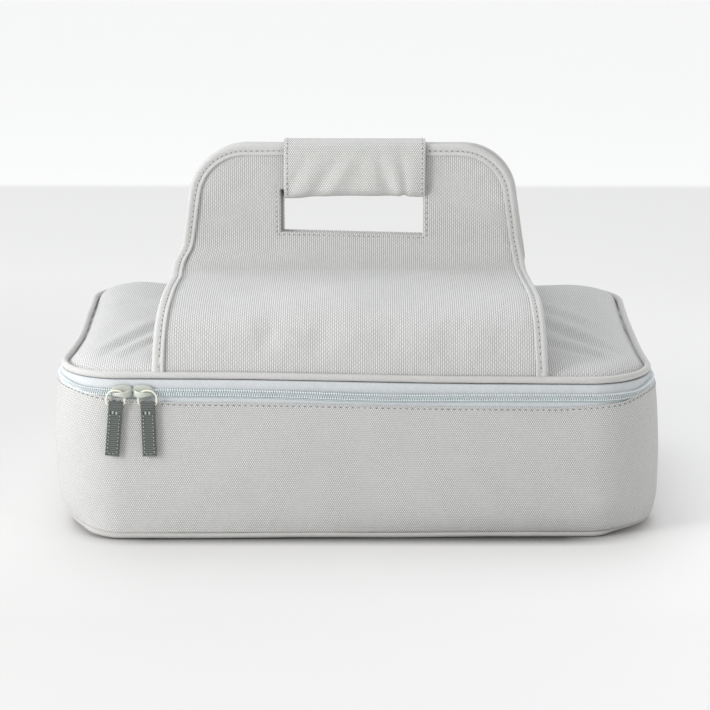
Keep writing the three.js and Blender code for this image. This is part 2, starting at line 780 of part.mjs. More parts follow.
piece(
  tub,
  "lower_zip_tape",
  carriedRound(box(tapeFront, tapeBack, rimLow, lowerTapeTop), alongZip, false),
  ZIP_FABRIC,
);
piece(
  tub,
  "lower_zip_coil",
  carriedRound(box(coilFront, coilBack, lowerCoilBottom, lowerCoilTop), alongZip, false),
  COIL_NYLON,
);
piece(tub, "hinge_lower", hingeStrip(rimLow, zipLine - SEAM_GAP), GREY_FABRIC);
piece(tub, "left_zip_stop", zipStop(-1), GREY_FABRIC);
piece(tub, "right_zip_stop", zipStop(1), GREY_FABRIC);

const lid = new THREE.Group();
carrier.add(lid);
const lidPanelSolid = crownedLayer(lidInset, lidPanelBottom, lidRise, lidPanelTop, lidRise);
const lidFoamSolid = crownedLayer(lidInset, lidFoamBottom, linerRise, lidFoamTop, lidRise);
const lidLinerSolid = crownedLayer(lidInset, lidLinerBottom, linerRise, lidLinerTop, linerRise);
piece(lid, "lid_panel", lidPanelSolid, GREY_FABRIC);
piece(lid, "lid_foam", lidFoamSolid, PADDING);
piece(lid, "lid_liner", lidLinerSolid, LINING);
piece(
  lid,
  "lid_piping",
  carriedRound(roundSection(lidPipingInset, lidPipingHeight, LID_PIPING, 8), aroundBox, true),
  PIPING_FABRIC,
);
piece(lid, "lid_rim_binding", carriedRound(lidBindingSection(), aroundBox, true), BINDING_FABRIC);
piece(
  lid,
  "upper_zip_tape",
  carriedRound(box(tapeFront, tapeBack, upperTapeBottom, upperTapeTop), alongZip, false),
  ZIP_FABRIC,
);
piece(
  lid,
  "upper_zip_coil",
  carriedRound(box(coilFront, coilBack, upperCoilBottom, upperCoilTop), alongZip, false),
  COIL_NYLON,
);
piece(lid, "hinge_upper", hingeStrip(zipLine + SEAM_GAP, upperTapeTop), GREY_FABRIC);

// The front handle is drawn as it stands and the rear one is its mirror image
for (const [end, turn] of [["front", 1], ["rear", -1]]) {
  const handle = new THREE.Group();
  lid.add(handle);
  const add = (name, geometry, look) => piece(handle, `${end}_${name}`, mirrored(geometry, 1, turn), look);
  add("seam_hem", seamHem(), GREY_FABRIC);
  add("skirt_outer", archLayer(skinNear, skinFar), GREY_FABRIC);
  add("skirt_core", archLayer(-coreHalf, coreHalf), PADDING);
  add("skirt_inner", archLayer(-skinFar, -skinNear), GREY_FABRIC);
  add("skirt_binding_left", archBinding(-1), BINDING_FABRIC);
  add("skirt_binding_right", archBinding(1), BINDING_FABRIC);
  add("grip_outer", uprightLayer(skinNear, skinFar), GREY_FABRIC);
  add("grip_core", uprightLayer(-coreHalf, coreHalf), PADDING);
  add("grip_inner", uprightLayer(-skinFar, -skinNear), GREY_FABRIC);
  add("grip_binding", uprightBinding(), BINDING_FABRIC);
  add("wrap_pad", wrapLayer(SEAM_GAP, WRAP_PAD, SEAM_GAP, WRAP_CORNER - SHELL_FABRIC - SEAM_GAP), PADDING);
  add(
    "wrap_cover",
    wrapLayer(2 * SEAM_GAP + WRAP_PAD, SHELL_FABRIC, WRAP_CORNER - SHELL_FABRIC, WRAP_CORNER),
    GREY_FABRIC,
  );
  add("closure_strip", closureStrip(), HOOK_AND_LOOP);
}

// Two sliders meet nose to nose on the front of the zip
for (const [side, x, nose, tilt] of [
  ["left", leftSliderX, 1, LEFT_PULL_TILT_DEG],
  ["right", rightSliderX, -1, RIGHT_PULL_TILT_DEG],
]) {
  const runner = new THREE.Group();
  runner.position.set(x, -BOX_DEPTH / 2, zipLine);
  tub.add(runner);
  piece(runner, `${side}_slider`, slider(nose), ENAMEL);
  piece(runner, `${side}_pull_ring`, pullRing(nose), WIRE);
  const pull = piece(runner, `${side}_pull`, ribbonPull(), RIBBON);
  pull.position.set(-nose * RING_REACH, ringPlane, ringFoot);
  pull.rotation.y = -tilt * DEG;
}

export default carrier;
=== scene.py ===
"""Looks of an insulated casserole carrier: a padded fabric box with a zipped lid and bound handle panels."""

import math

import bmesh
import bpy
import numpy as np
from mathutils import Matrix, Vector


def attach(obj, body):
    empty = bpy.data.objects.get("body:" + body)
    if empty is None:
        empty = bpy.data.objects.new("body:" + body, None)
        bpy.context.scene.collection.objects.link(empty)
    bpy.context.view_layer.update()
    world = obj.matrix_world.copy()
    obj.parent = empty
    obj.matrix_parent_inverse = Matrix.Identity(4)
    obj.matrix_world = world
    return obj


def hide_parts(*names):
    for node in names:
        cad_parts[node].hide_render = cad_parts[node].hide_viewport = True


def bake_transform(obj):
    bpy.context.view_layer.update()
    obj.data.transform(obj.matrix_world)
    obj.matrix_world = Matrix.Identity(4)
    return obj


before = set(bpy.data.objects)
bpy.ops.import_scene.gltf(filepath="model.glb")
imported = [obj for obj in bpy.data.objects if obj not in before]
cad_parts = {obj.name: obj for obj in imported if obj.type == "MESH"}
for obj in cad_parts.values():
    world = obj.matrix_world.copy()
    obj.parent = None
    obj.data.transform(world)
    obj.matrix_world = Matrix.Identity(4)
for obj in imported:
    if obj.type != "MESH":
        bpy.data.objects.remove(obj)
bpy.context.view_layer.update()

# Sizes in millimetres: tub, zip and lid
MM = 0.001
HALF_WIDTH = 210.0
HALF_DEPTH = 142.5
CORNER = 50.0
WALL_LOW = 4.2
WALL_TOP = 95.0
TUCK_HEIGHT = 20.0
TOPSTITCH = 93.3
STITCH = 4.0
ZIP_LINE = 101.4
ZIP_END = 136.5
COIL_PITCH = 1.59
HINGE_HALF = 139.5
LID_EDGE = 6.0
LID_SEAM = 113.6
LID_CROWN = 9.0
PIPING_HEIGHT = 113.25
PIPING_INSET = 3.35
PIPING_RADIUS = 2.35
BASE_PIPING_HEIGHT = 2.3
BASE_PIPING_RADIUS = 1.85

# Handle panels
SKIN = 2.1
BINDING_WIDTH = 8.0
EDGE_INSET = 1.3
BASE_HALF = 133.0
CREASE_HALF = 125.0
CREASE_HEIGHT = 165.3
TAPER = math.radians(8.5)
PANEL_TOP = 251.7
PANEL_CORNER = 40.0
HEM_Y = 135.95
HEM_LOW = 114.2
ARCH_FOOT = 120.35
GRIP_Y = 3.5
CREASE_RADIUS = 24.0
FOOT_SPLIT = 12.0
FOOT_SHIFT = -4.1
GRIP_SHIFT = -1.9
FRONT_GRIP_SHIFT = -4.0
SLOT_HALF = 51.25
SLOT_LOW = 188.0
SLOT_TOP = 218.5
WRAP_HALF = 50.75
WRAP_SEAM = 2.3

# Zip sliders, rings and pulls
SLIDER_LINE = 103.9
RING_Y = -145.1
RING_FOOT = 95.4
EYE = 102.8
SLIDERS = {"left": (-156.8, 1), "right": (-142.5, -1)}
RING_REACH = {"left": 4.2, "right": 2.9}
PULL_TILT = {"left": -5.5, "right": 1.1}
PULL_CURL = {"left": 0.35, "right": -0.2}


# Shader nodes
class Nodes:
    """A node tree to which nodes are added with their inputs: values, or other nodes' outputs."""

    def __init__(self, tree):
        self.tree = tree

    def feed(self, socket, value):
        if isinstance(value, bpy.types.NodeSocket):
            self.tree.links.new(value, socket)
        else:
            socket.default_value = value

    def put(self, kind, inputs, **settings):
        made = self.tree.nodes.new(kind)
        for key, value in settings.items():
            setattr(made, key, value)
        for key, value in inputs.items():
            self.feed(made.inputs[key], value)
        return made.outputs

    def math(self, operation, *values):
        return self.put("ShaderNodeMath", dict(enumerate(values)), operation=operation)[0]

    def times(self, first, second):
        return self.math("MULTIPLY", first, second)


class Look(Nodes):
    """A material whose colour, roughness and bump come from a woven or moulded pattern."""

    def __init__(self, name):
        self.material = bpy.data.materials.new(name)
        self.material.use_nodes = True
        super().__init__(self.material.node_tree)
        self.shader = self.tree.nodes["Principled BSDF"]

    def turned_flat(self, angle, across, along):
        """Counts of yarns across and of floats along, from the distances on the cloth."""
        uv = self.put("ShaderNodeUVMap", {}, uv_map="flat")
        parts = self.put("ShaderNodeSeparateXYZ", {0: uv[0]})
        u, v = [self.times(parts[k], 1 / MM) for k in (0, 1)]
        cos = math.cos(math.radians(angle))
        sin = math.sin(math.radians(angle))
        a = self.math("ADD", self.times(u, cos / across), self.times(v, sin / across))
        b = self.math("SUBTRACT", self.times(v, cos / along), self.times(u, sin / along))
        a = self.math("ADD", a, self.times(self.noise(9.0), 0.4))
        b = self.math("ADD", b, self.times(self.noise(7.0), 0.4))
        return a, b

    def noise(self, size_mm, detail=2.0):
        place = self.put("ShaderNodeTexCoord", {})["Object"]
        inputs = {"Vector": place, "Scale": 1000.0 / size_mm, "Detail": detail}
        return self.put("ShaderNodeTexNoise", inputs)["Fac"]

    def humps(self, count):
        """A row of humps between 0 and 1, one for each whole count."""
        return self.math("ABSOLUTE", self.math("SINE", self.times(count, math.pi)))

    def weave(self, across, along, angle, float_share, gap):
        """Rounded yarns side by side, each with floats half a step from its neighbour's.
        Gives the yarns' height and a tone that differs from float to float."""
        a, b = self.turned_flat(angle, across, along)
        yarn = self.math("FLOOR", a)
        rib = self.math("POWER", self.humps(a), gap)
        place = self.math("ADD", b, self.times(yarn, 0.5))
        share = self.math("MULTIPLY_ADD", self.humps(place), float_share, 1.0 - float_share)
        spot = self.put("ShaderNodeCombineXYZ", {0: yarn, 1: self.math("FLOOR", place)})
        tone = self.put("ShaderNodeTexWhiteNoise", {"Vector": spot[0]}, noise_dimensions="2D")
        return self.times(rib, share), tone["Value"]

    def mix(self, factor, first, second, **settings):
        inputs = {"Factor": factor, "A": first, "B": second}
        made = self.put("ShaderNodeMix", inputs, data_type="RGBA", **settings)
        return next(socket for socket in made if socket.type == "RGBA")

    def ramp(self, factor, dark, light, low=0.0, high=1.0):
        share = self.put("ShaderNodeMapRange", {"Value": factor, "From Min": low, "From Max": high})
        return self.mix(share[0], dark, light)

    def tint(self, colour, factor, low, high, span=(0.3, 0.7)):
        """The colour multiplied by a grey that runs from low to high with the factor."""
        grey = self.ramp(factor, (low, low, low, 1.0), (high, high, high, 1.0), *span)
        return self.mix(1.0, colour, grey, blend_type="MULTIPLY")

    def bump(self, height, strength, depth_mm, below=None):
        inputs = {"Height": height, "Strength": strength, "Distance": depth_mm * MM}
        if below is not None:
            inputs["Normal"] = below
        return self.put("ShaderNodeBump", inputs)[0]

    def rough(self, factor, low, high):
        share = self.put("ShaderNodeMapRange", {"Value": factor, "To Min": low, "To Max": high})
        self.feed(self.shader.inputs["Roughness"], share[0])

    def finish(self, colour, normal, **uniform):
        self.feed(self.shader.inputs["Base Color"], colour)
        self.feed(self.shader.inputs["Normal"], normal)
        for key, value in uniform.items():
            self.shader.inputs[key.replace("_", " ")].default_value = value
        return self.material


def linear(*display):
    """A colour given as display values from 0 to 255."""
    shares = [value / 255.0 for value in display]
    return (*[c / 12.92 if c <= 0.04045 else ((c + 0.055) / 1.055) ** 2.4 for c in shares], 1.0)


def cloth(name, colour, across, along, angle, depth_mm, floats=0.3, contrast=0.62, sheen=0.25, gap=1.0):
    """Woven cloth: yarns with gaps darkened as painted shade, uneven floats, a faint cloudiness and a soft
    sheen.
    """
    look = Look(name)
    yarn, tone = look.weave(across, along, angle, floats, gap)
    cloud = look.noise(26.0, 3.0)
    fleck = look.noise(1.1)
    light = linear(*colour)
    # Painted shade: the gaps between yarns are darkened by contrast, on top of the weave's bump.
    dark = (*[c * contrast for c in light[:3]], 1.0)
    shade = look.ramp(yarn, dark, light, 0.05, 0.75)
    shade = look.tint(shade, cloud, 0.985, 1.012)
    shade = look.tint(shade, fleck, 0.975, 1.015)
    shade = look.tint(shade, tone, 0.97, 1.03, (0.0, 1.0))
    soft = look.bump(cloud, 0.06, 0.5)
    fine = look.bump(fleck, 0.2, 0.15, soft)
    normal = look.bump(yarn, 0.6, depth_mm, fine)
    look.rough(yarn, 0.97, 0.82)
    return look.finish(shade, normal, Sheen_Weight=sheen, Sheen_Roughness=0.5, Specular_IOR_Level=0.25)


def smooth(name, colour, grain_mm, depth_mm, low, high, wear=0.06, **uniform):
    """A moulded, enamelled or coated surface with fine grain and uneven gloss."""
    look = Look(name)
    grain = look.noise(grain_mm, 3.0)
    patch = look.noise(grain_mm * 9.0)
    shade = look.tint(linear(*colour), patch, 1.0 - wear, 1.0 + wear * 0.4)
    shade = look.tint(shade, grain, 0.97, 1.02)
    look.rough(patch, low, high)
    return look.finish(shade, look.bump(grain, 0.35, depth_mm), **uniform)


GREY = (214, 214, 213)
DOTS = {"floats": 0.95, "contrast": 0.3, "gap": 0.3}
GLOSS = {"Coat_Weight": 0.3, "Coat_Roughness": 0.2}
CORD = (1.1, 1.3, 48.0, 0.14)
THREAD = (0.35, 0.5, 55.0, 0.06)
HOLE = (0.4, 0.6, 30.0, 0.06)
LOOKS = {
    "ribbed": cloth("ribbed_canvas", GREY, 1.45, 2.7, 0.0, 0.25, floats=0.55, contrast=0.46),
    "dotted": cloth("dotted_canvas", GREY, 1.27, 1.38, 90.0, 0.25, **DOTS),
    # Painted light: the wrap is the same grey cloth as the walls, painted lighter for the stronger light that
    # it catches.
    "wrap": cloth("wrap_canvas_painted_light", (224, 224, 222), 1.2, 1.6, 90.0, 0.25, **DOTS),
    # Painted shade: the base's cord is the same cloth as the lid's piping, painted darker for the shade under
    # the tucked wall.
    "base_piping": cloth("base_piping_painted_shade_cloth", (196, 195, 192), *CORD, contrast=0.6),
    "piping": cloth("piping_cloth", (209, 208, 206), *CORD, contrast=0.6),
    "binding": cloth("binding_tape", (211, 211, 209), 1.0, 1.2, 42.0, 0.12),
    "zip_tape": cloth("zip_tape_cloth", (206, 210, 213), 1.3, 2.6, 24.0, 0.12, 0.6, 0.84, 0.15),
    "ribbon": cloth("grosgrain", (108, 114, 111), 1.4, 3.0, 90.0, 0.3, 0.15, 0.28, 0.12),
    "nap": cloth("hook_and_loop_nap", (205, 205, 203), 0.9, 0.9, 45.0, 0.35, 0.8, 0.5, 0.4),
    "thread": cloth("sewing_thread", (212, 212, 210), *THREAD, contrast=0.8, sheen=0.3),
    # Needle holes: dark capsules that are painted shade where the thread sinks into the cloth.
    "hole": cloth("needle_hole_painted_shade", (116, 115, 112), *HOLE, contrast=0.7, sheen=0.0),
    "ribbon_thread": cloth("ribbon_thread", (190, 194, 188), *THREAD, contrast=0.7),
    # The ribbon's needle holes: painted shade where its thread sinks in.
    "ribbon_hole_painted_shade": cloth("ribbon_hole_painted_shade", (66, 70, 68), *HOLE, contrast=0.7, sheen=0.0),
    "lining": smooth("coated_lining", (200, 203, 206), 0.8, 0.05, 0.42, 0.6, Sheen_Weight=0.1),
    "coil": smooth("coil_nylon", (216, 223, 225), 0.4, 0.03, 0.28, 0.45, Specular_IOR_Level=0.5),
    # The coil's core cord, and the painted shadow line under the lower coil, in one darker teal.
    "coil_core_and_painted_shadow": smooth("coil_core_and_painted_shadow", (186, 198, 200), 0.4, 0.03, 0.4, 0.6),
    "coil_thread": smooth("coil_thread", (230, 236, 237), 0.3, 0.03, 0.6, 0.8),
    "enamel": smooth("cream_enamel", (185, 188, 179), 0.9, 0.03, 0.28, 0.42, **GLOSS),
    "wire": smooth("cream_wire", (226, 227, 212), 0.5, 0.02, 0.25, 0.4, **GLOSS),
}


# Curves and arrays
def unit(t):
    """Values held between 0 and 1."""
    return np.clip(t, 0, 1)


def ease(t):
    """A smooth step from 0 to 1."""
    t = unit(t)
    return t * t * (3 - 2 * t)


def bell(t):
    """A soft hump of height 1 about 0."""
    return np.exp(-(t**2))


def ripple(u, v, size, seed):
    """A soft uneven surface between about -1 and 1."""
    k = 2 * math.pi / size
    a = np.sin(k * (u + 0.37 * v) + 1.7 * seed)
    b = np.sin(k * 1.31 * (0.61 * u - 0.83 * v) + 2.9 * seed + 0.6)
    c = np.sin(k * 0.77 * (0.24 * u + 1.07 * v) + 0.8 * seed + 2.1)
    return (a + b + c) / 3


def signed_power(value, power):
    return np.sign(value) * np.abs(value) ** power


def xyz(x, y, z):
    return np.stack(np.broadcast_arrays(x, y, z), axis=-1)


def normed(rows):
    return rows / np.linalg.norm(rows, axis=1)[:, None]


def lengths(points):
    """Distance along a row of points, from its start."""
    steps = np.linalg.norm(np.diff(points, axis=0), axis=1)
    return np.concatenate([[0.0], np.cumsum(steps)])


def headings(path, closed=False):
    """The direction of a path at each of its points."""
    ahead = np.roll(path, -1, axis=0) - np.roll(path, 1, axis=0)
    if not closed:
        ahead[0] = path[1] - path[0]
        ahead[-1] = path[-1] - path[-2]
    return normed(ahead)


# Mesh building
class Shell:
    """Points, faces and cloth distances of one piece, gathered part by part."""

    def __init__(self):
        self.points = []
        self.faces = []
        self.flat = []
        self.kinds = []
        self.count = 0

    def add(self, points, faces, corner_flat, kind=0):
        points = np.asarray(points, float).reshape(-1, 3)
        self.points.append(points)
        self.faces.extend([tuple(int(i) + self.count for i in face) for face in faces])
        self.flat.extend(corner_flat)
        self.kinds.extend([kind] * len(faces))
        self.count += len(points)

    def grid(self, points, u, v, close_rows=False, caps=True, kind=0):
        """Quads over rows of points that each close on themselves. u and v have one more column than the
        points, and one more row where the rows close too."""
        u, v = np.broadcast_arrays(u, v)
        rows, cols = points.shape[:2]
        r_count = rows if close_rows else rows - 1
        r = np.repeat(np.arange(r_count), cols)
        c = np.tile(np.arange(cols), r_count)
        r2 = (r + 1) % rows
        c2 = (c + 1) % cols
        faces = np.stack([r * cols + c, r * cols + c2, r2 * cols + c2, r2 * cols + c], axis=1).tolist()
        corners = [(r, c), (r, c + 1), (r + 1, c + 1), (r + 1, c)]
        uv = np.stack([np.stack([u[i, j], v[i, j]], axis=1) for i, j in corners], axis=1)
        flat = uv.reshape(-1, 2).tolist()
        if caps:
            for row in (0, rows - 1):
                faces.append([row * cols + k for k in range(cols)])
                flat.extend([[u[row, k], v[row, k]] for k in range(cols)])
        self.add(points, faces, flat, kind)

    def loops(self, points, first, second):
        """Closed rings of points, capped at both ends, with two coordinates as cloth distances."""
        shut = np.concatenate([points, points[:, :1]], axis=1)
        self.grid(points, shut[:, :, first], shut[:, :, second])

    def build(self, name, *materials):
        mesh = bpy.data.meshes.new(name)
        mesh.from_pydata((np.concatenate(self.points) * MM).tolist(), [], self.faces)
        layer = mesh.uv_layers.new(name="flat")
        layer.data.foreach_set("uv", (np.array(self.flat, np.float32) * MM).ravel())
        for material in materials:
            mesh.materials.append(LOOKS[material])
        mesh.polygons.foreach_set("material_index", self.kinds)
        mesh.polygons.foreach_set("use_smooth", [True] * len(self.faces))
        work = bmesh.new()
        work.from_mesh(mesh)
        bmesh.ops.recalc_face_normals(work, faces=work.faces)
        work.to_mesh(mesh)
        work.free()
        return linked(name, mesh)


def linked(name, data):
    """A new object in the scene."""
    made = bpy.data.objects.new(name, data)
    bpy.context.scene.collection.objects.link(made)
    return made


def settle(piece, body, slot, *nodes):
    """Rides a piece on its body and hides the solids that it stands for; slot, its finish, is not used."""
    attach(piece, body)
    if nodes:
        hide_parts(*nodes)
    return piece


def rod(shell, path, ahead, side, radii, sides, closed=False, kind=0, start=0.0):
    """A round rod along a path, from its headings and a direction square to each."""
    side = normed(side)
    rise = np.cross(ahead, side)
    radii = np.broadcast_to(np.asarray(radii, float), (len(path),))
    angle = np.arange(sides) * 2 * math.pi / sides
    ring = side[:, None] * np.cos(angle)[None, :, None] + rise[:, None] * np.sin(angle)[None, :, None]
    points = path[:, None] + ring * radii[:, None, None]
    along = lengths(np.vstack([path, path[:1]]) if closed else path) + start
    girth = np.arange(sides + 1) * 2 * math.pi * float(radii.max()) / sides
    shell.grid(points, along[:, None], girth[None], closed, not closed, kind)


def tube(shell, path, radii, across, sides, closed=False, kind=0, start=0.0):
    """A round rod along a path that turns only about the direction across."""
    path = np.asarray(path, float)
    ahead = headings(path, closed)
    side = np.cross(np.broadcast_to(np.asarray(across, float), path.shape), ahead)
    rod(shell, path, ahead, side, radii, sides, closed, kind, start)


def sew(shell, row, total, start=0.0, pitch=STITCH, thread=0.34):
    """Stitches along a row, with dark needle holes between them that are painted shade where the thread sinks
    in. row(t) gives the points and outward normals at distances t."""
    along = np.array([0.2, 0.36, 0.5, 0.64, 0.8])
    lift = np.array([-0.1, 0.16, 0.24, 0.16, -0.1])
    girth = np.array([0.35, 0.9, 1, 0.9, 0.35])
    for k in range(int((total - start) // pitch)):
        t = start + k * pitch
        points, normals = row(t + pitch * along)
        tube(shell, points + normals * lift[:, None], thread * girth, normals, 6, start=t)
        # The needle holes: small dark capsules, painted shade where the thread goes into the cloth.
        points, normals = row(t + pitch * np.array([-0.15, 0.0, 0.15]))
        tube(shell, points + normals * 0.02, thread * np.array([0.5, 1.15, 0.5]), normals, 6, kind=1)


def slab(shell, front, rear, u, v, keep=None, open_row=None):
    """A sheet with two faces; cells that keep marks false are left out, and free edges are closed,
    apart from those of the row that meets another piece."""
    rows, cols = front.shape[:2]
    if keep is None:
        keep = np.ones((rows - 1, cols - 1), bool)
    size = rows * cols
    faces = []
    flat = []
    edges = {}
    plain = np.stack(np.broadcast_arrays(u, v), axis=-1).reshape(-1, 2).tolist()
    for r, c in np.argwhere(keep):
        a = int(r * cols + c)
        quad = [a, a + 1, a + cols + 1, a + cols]
        back = quad[::-1]
        faces += [quad, [i + size for i in back]]
        flat.extend([plain[i] for i in quad + back])
        for i in range(4):
            edges[(quad[i], quad[(i + 1) % 4])] = True
    for a, b in edges:
        meets = open_row is not None and a // cols == open_row and b // cols == open_row
        if (b, a) not in edges and not meets:
            faces.append([b, a, a + size, b + size])
            flat.extend([plain[b], plain[a], plain[a], plain[b]])
    shell.add(np.concatenate([front.reshape(-1, 3), rear.reshape(-1, 3)]), faces, flat)


# Routes round the box
def around_box(step):
    """Stations round the box from the middle of its back over the left side and the front, with the amounts
    by which the base is tucked, lifted and creased and the lid drawn in at each."""
    flat_x = HALF_WIDTH - CORNER
    flat_y = HALF_DEPTH - CORNER
    parts = []

    def straight(a, b, normal):
        count = max(1, round(math.dist(a, b) / step))
        for t in np.arange(count) / count:
            parts.append((a[0] + (b[0] - a[0]) * t, a[1] + (b[1] - a[1]) * t, *normal))

    def bend(cx, cy, start):
        count = max(8, round(CORNER * math.pi / 2 / step))
        for i in range(count):
            angle = math.radians(start + 90 * i / count)
            n = (math.cos(angle), math.sin(angle))
            parts.append((cx + CORNER * n[0], cy + CORNER * n[1], *n))

    straight((0, HALF_DEPTH), (-flat_x, HALF_DEPTH), (0, 1))
    bend(-flat_x, flat_y, 90)
    straight((-HALF_WIDTH, flat_y), (-HALF_WIDTH, -flat_y), (-1, 0))
    bend(-flat_x, -flat_y, 180)
    straight((-flat_x, -HALF_DEPTH), (flat_x, -HALF_DEPTH), (0, -1))
    bend(flat_x, -flat_y, 270)
    straight((HALF_WIDTH, -flat_y), (HALF_WIDTH, flat_y), (1, 0))
    bend(flat_x, flat_y, 0)
    straight((flat_x, HALF_DEPTH), (0, HALF_DEPTH), (0, 1))
    table = np.array(parts)
    loop = lengths(np.vstack([table[:, :2], table[:1, :2]]))
    x, y, nx, ny = table.T
    left = unit(-nx)
    right = unit(nx)
    front = unit(-ny)
    drawn_left = 7.0 * left * bell((y + 48) / 95)
    drawn_right = 6.6 * right * bell((y + 50) / 150)
    tuck = 6.0 + 1.5 * left**1.5 - 2.0 * right
    tuck = tuck + front**4 * (0.5 + 0.022 * (x + 60) - tuck)
    crease = 2.3 * bell((x - 188) / 26) * unit(2 * front)
    under = 3.0 * ease((left - 0.35) / 0.35) + 3.0 * ease((right - 0.1) / 0.35)
    lift = 5.0 * ease(left) * front + 5.0 * ease(right) * front
    return {"x": x, "y": y, "nx": nx, "ny": ny, "s": loop[:-1], "total": loop[-1], "left": left, "tuck": tuck,
            "crease": crease, "under": under, "lift": lift, "pull": drawn_left + drawn_right}


def zip_part(path):
    """The stations of a route that carry the zip, from one end of the hinge to the other."""
    keep = (path["y"] < HALF_DEPTH - 0.01) | (np.abs(path["x"]) > ZIP_END)
    return {k: (v[keep] if isinstance(v, np.ndarray) else v) for k, v in path.items()}


route = around_box(3.0)
zip_route = zip_part(route)


def slump(x, y, z):
    """The change of height of the soft rim and lid: down at the right, up a little at the left."""
    share = ease((90 - y) / 180) * unit(z / WALL_TOP)
    return -share * (0.5 + 1.6 * np.tanh((x + 5) / 75))


def at_route(path, t, *keys):
    """Values of a route at distances t along it."""
    return [np.interp(t, path["s"], path[key], period=path["total"]) for key in keys]


def on_route(path, t, depth, z):
    """Points and outward normals at distances t along a route, at depths below the wall's face."""
    x, y, nx, ny = at_route(path, t, "x", "y", "nx", "ny")
    size = np.hypot(nx, ny)
    normals = xyz(nx / size, ny / size, 0.0)
    x = x - normals[:, 0] * depth
    y = y - normals[:, 1] * depth
    return xyz(x, y, z + slump(x, y, z)), normals


def sweep(shell, path, section, change, closed=True):
    """A closed section of (depth, z) pairs carried along a route, after change has moved its points."""
    section = np.asarray(section, float)
    s = path["s"][:, None]
    depth, z = change(s, *[np.repeat(section[None, :, k], len(s), axis=0) for k in (0, 1)])
    x = path["x"][:, None] - path["nx"][:, None] * depth
    y = path["y"][:, None] - path["ny"][:, None] * depth
    girth = lengths(np.vstack([section, section[:1]]))
    along = np.append(path["s"], path["total"]) if closed else path["s"]
    shell.grid(xyz(x, y, z + slump(x, y, z)), along[:, None], girth[None], closed, not closed)


def disc(shell, path, inset, levels, drawn=0.0):
    """Rings from (share of the plan, height) pairs, closed at both ends near the middle. The heights go
    with the plan before it is drawn in."""
    normal = np.stack([path["nx"], path["ny"]], axis=1)
    plan = np.stack([path["x"], path["y"]], axis=1) - normal * np.reshape(inset, (-1, 1))
    outline = plan - normal * np.reshape(drawn, (-1, 1))
    rings = []
    for share, height in levels:
        x, y = (outline * share).T
        z = height(*(plan * share).T) if callable(height) else height
        rings.append(xyz(x, y, z + slump(x, y, z)))
    shell.loops(np.array(rings), 0, 1)


# Tub. Steps of the rim and zip towards the corners: side, start and width in x, and height
RIM_LIFT = [(-1, 112, 80, 4.8), (-1, 165, 42, 3.4), (1, 132, 60, 3.2), (1, 175, 33, 5.0)]
RIM_LEAN = [(-1, 165, 40, 3.2), (1, 172, 35, 3.4)]
ZIP_LIFT = [(-1, 185, 20, 2.0), (1, 190, 18, 3.0)]


def cornered(x, y, steps):
    """The sum of steps towards the left and right corners, in full in front and fading towards the back."""
    total = sum(height * ease((side * x - start) / width) for side, start, width, height in steps)
    return total * ease((130 - y) / 80)


def rim_lift(x, y):
    """How far the wall's upper edge stands up round the front corners and along the sides."""
    return cornered(x, y, RIM_LIFT)


def rim_lean(x, y):
    """How far the raised rim leans in towards the lid."""
    return cornered(x, y, RIM_LEAN)


def rear_lift(x, y):
    """The rear corners of the lid stand a little higher than the rest of its edge."""
    return np.where(x < 0, 3.4, 2.2) * ease((y - 60) / 50) * ease((np.abs(x) - 140) / 40)


def rim_share(z):
    """The share of the rim's lift and lean that the wall has at a height."""
    return unit((z - 60) / (WALL_TOP - 60)) ** 1.5


def tuck_share(z):
    """The share of the base's tuck that is left at a height."""
    return (1 - unit((z - 4) / TUCK_HEIGHT)) ** 2


def base_rise(lift, z):
    """The soft front corners don't quite reach the floor."""
    return lift * unit(1 - z / 30)


def wall_swell(s, z):
    """How far the padded wall stands out from its flat face."""
    body = np.sin(math.pi * unit((z - WALL_LOW) / (WALL_TOP - WALL_LOW))) ** 0.8
    soft = 0.3 * body + body * (0.5 * ripple(s, z, 150.0, 1.0) + 0.2 * ripple(s, z * 1.6, 62.0, 2.3))
    top = 0.1 * np.sin(2 * math.pi * s / 8.3 + ripple(s, z, 40.0, 3.0)) * bell((z - TOPSTITCH + 3) / 3)
    low = 0.16 * np.sin(2 * math.pi * s / 11.7 + 2 * ripple(s, z, 70.0, 4.0)) * bell((z - 10) / 4)
    return soft + top + low


def wall_depth(s, z):
    """How deep the wall's face lies, with the groove of the topstitch."""
    return 0.3 * bell((z - TOPSTITCH) / 0.6) - wall_swell(s, z)


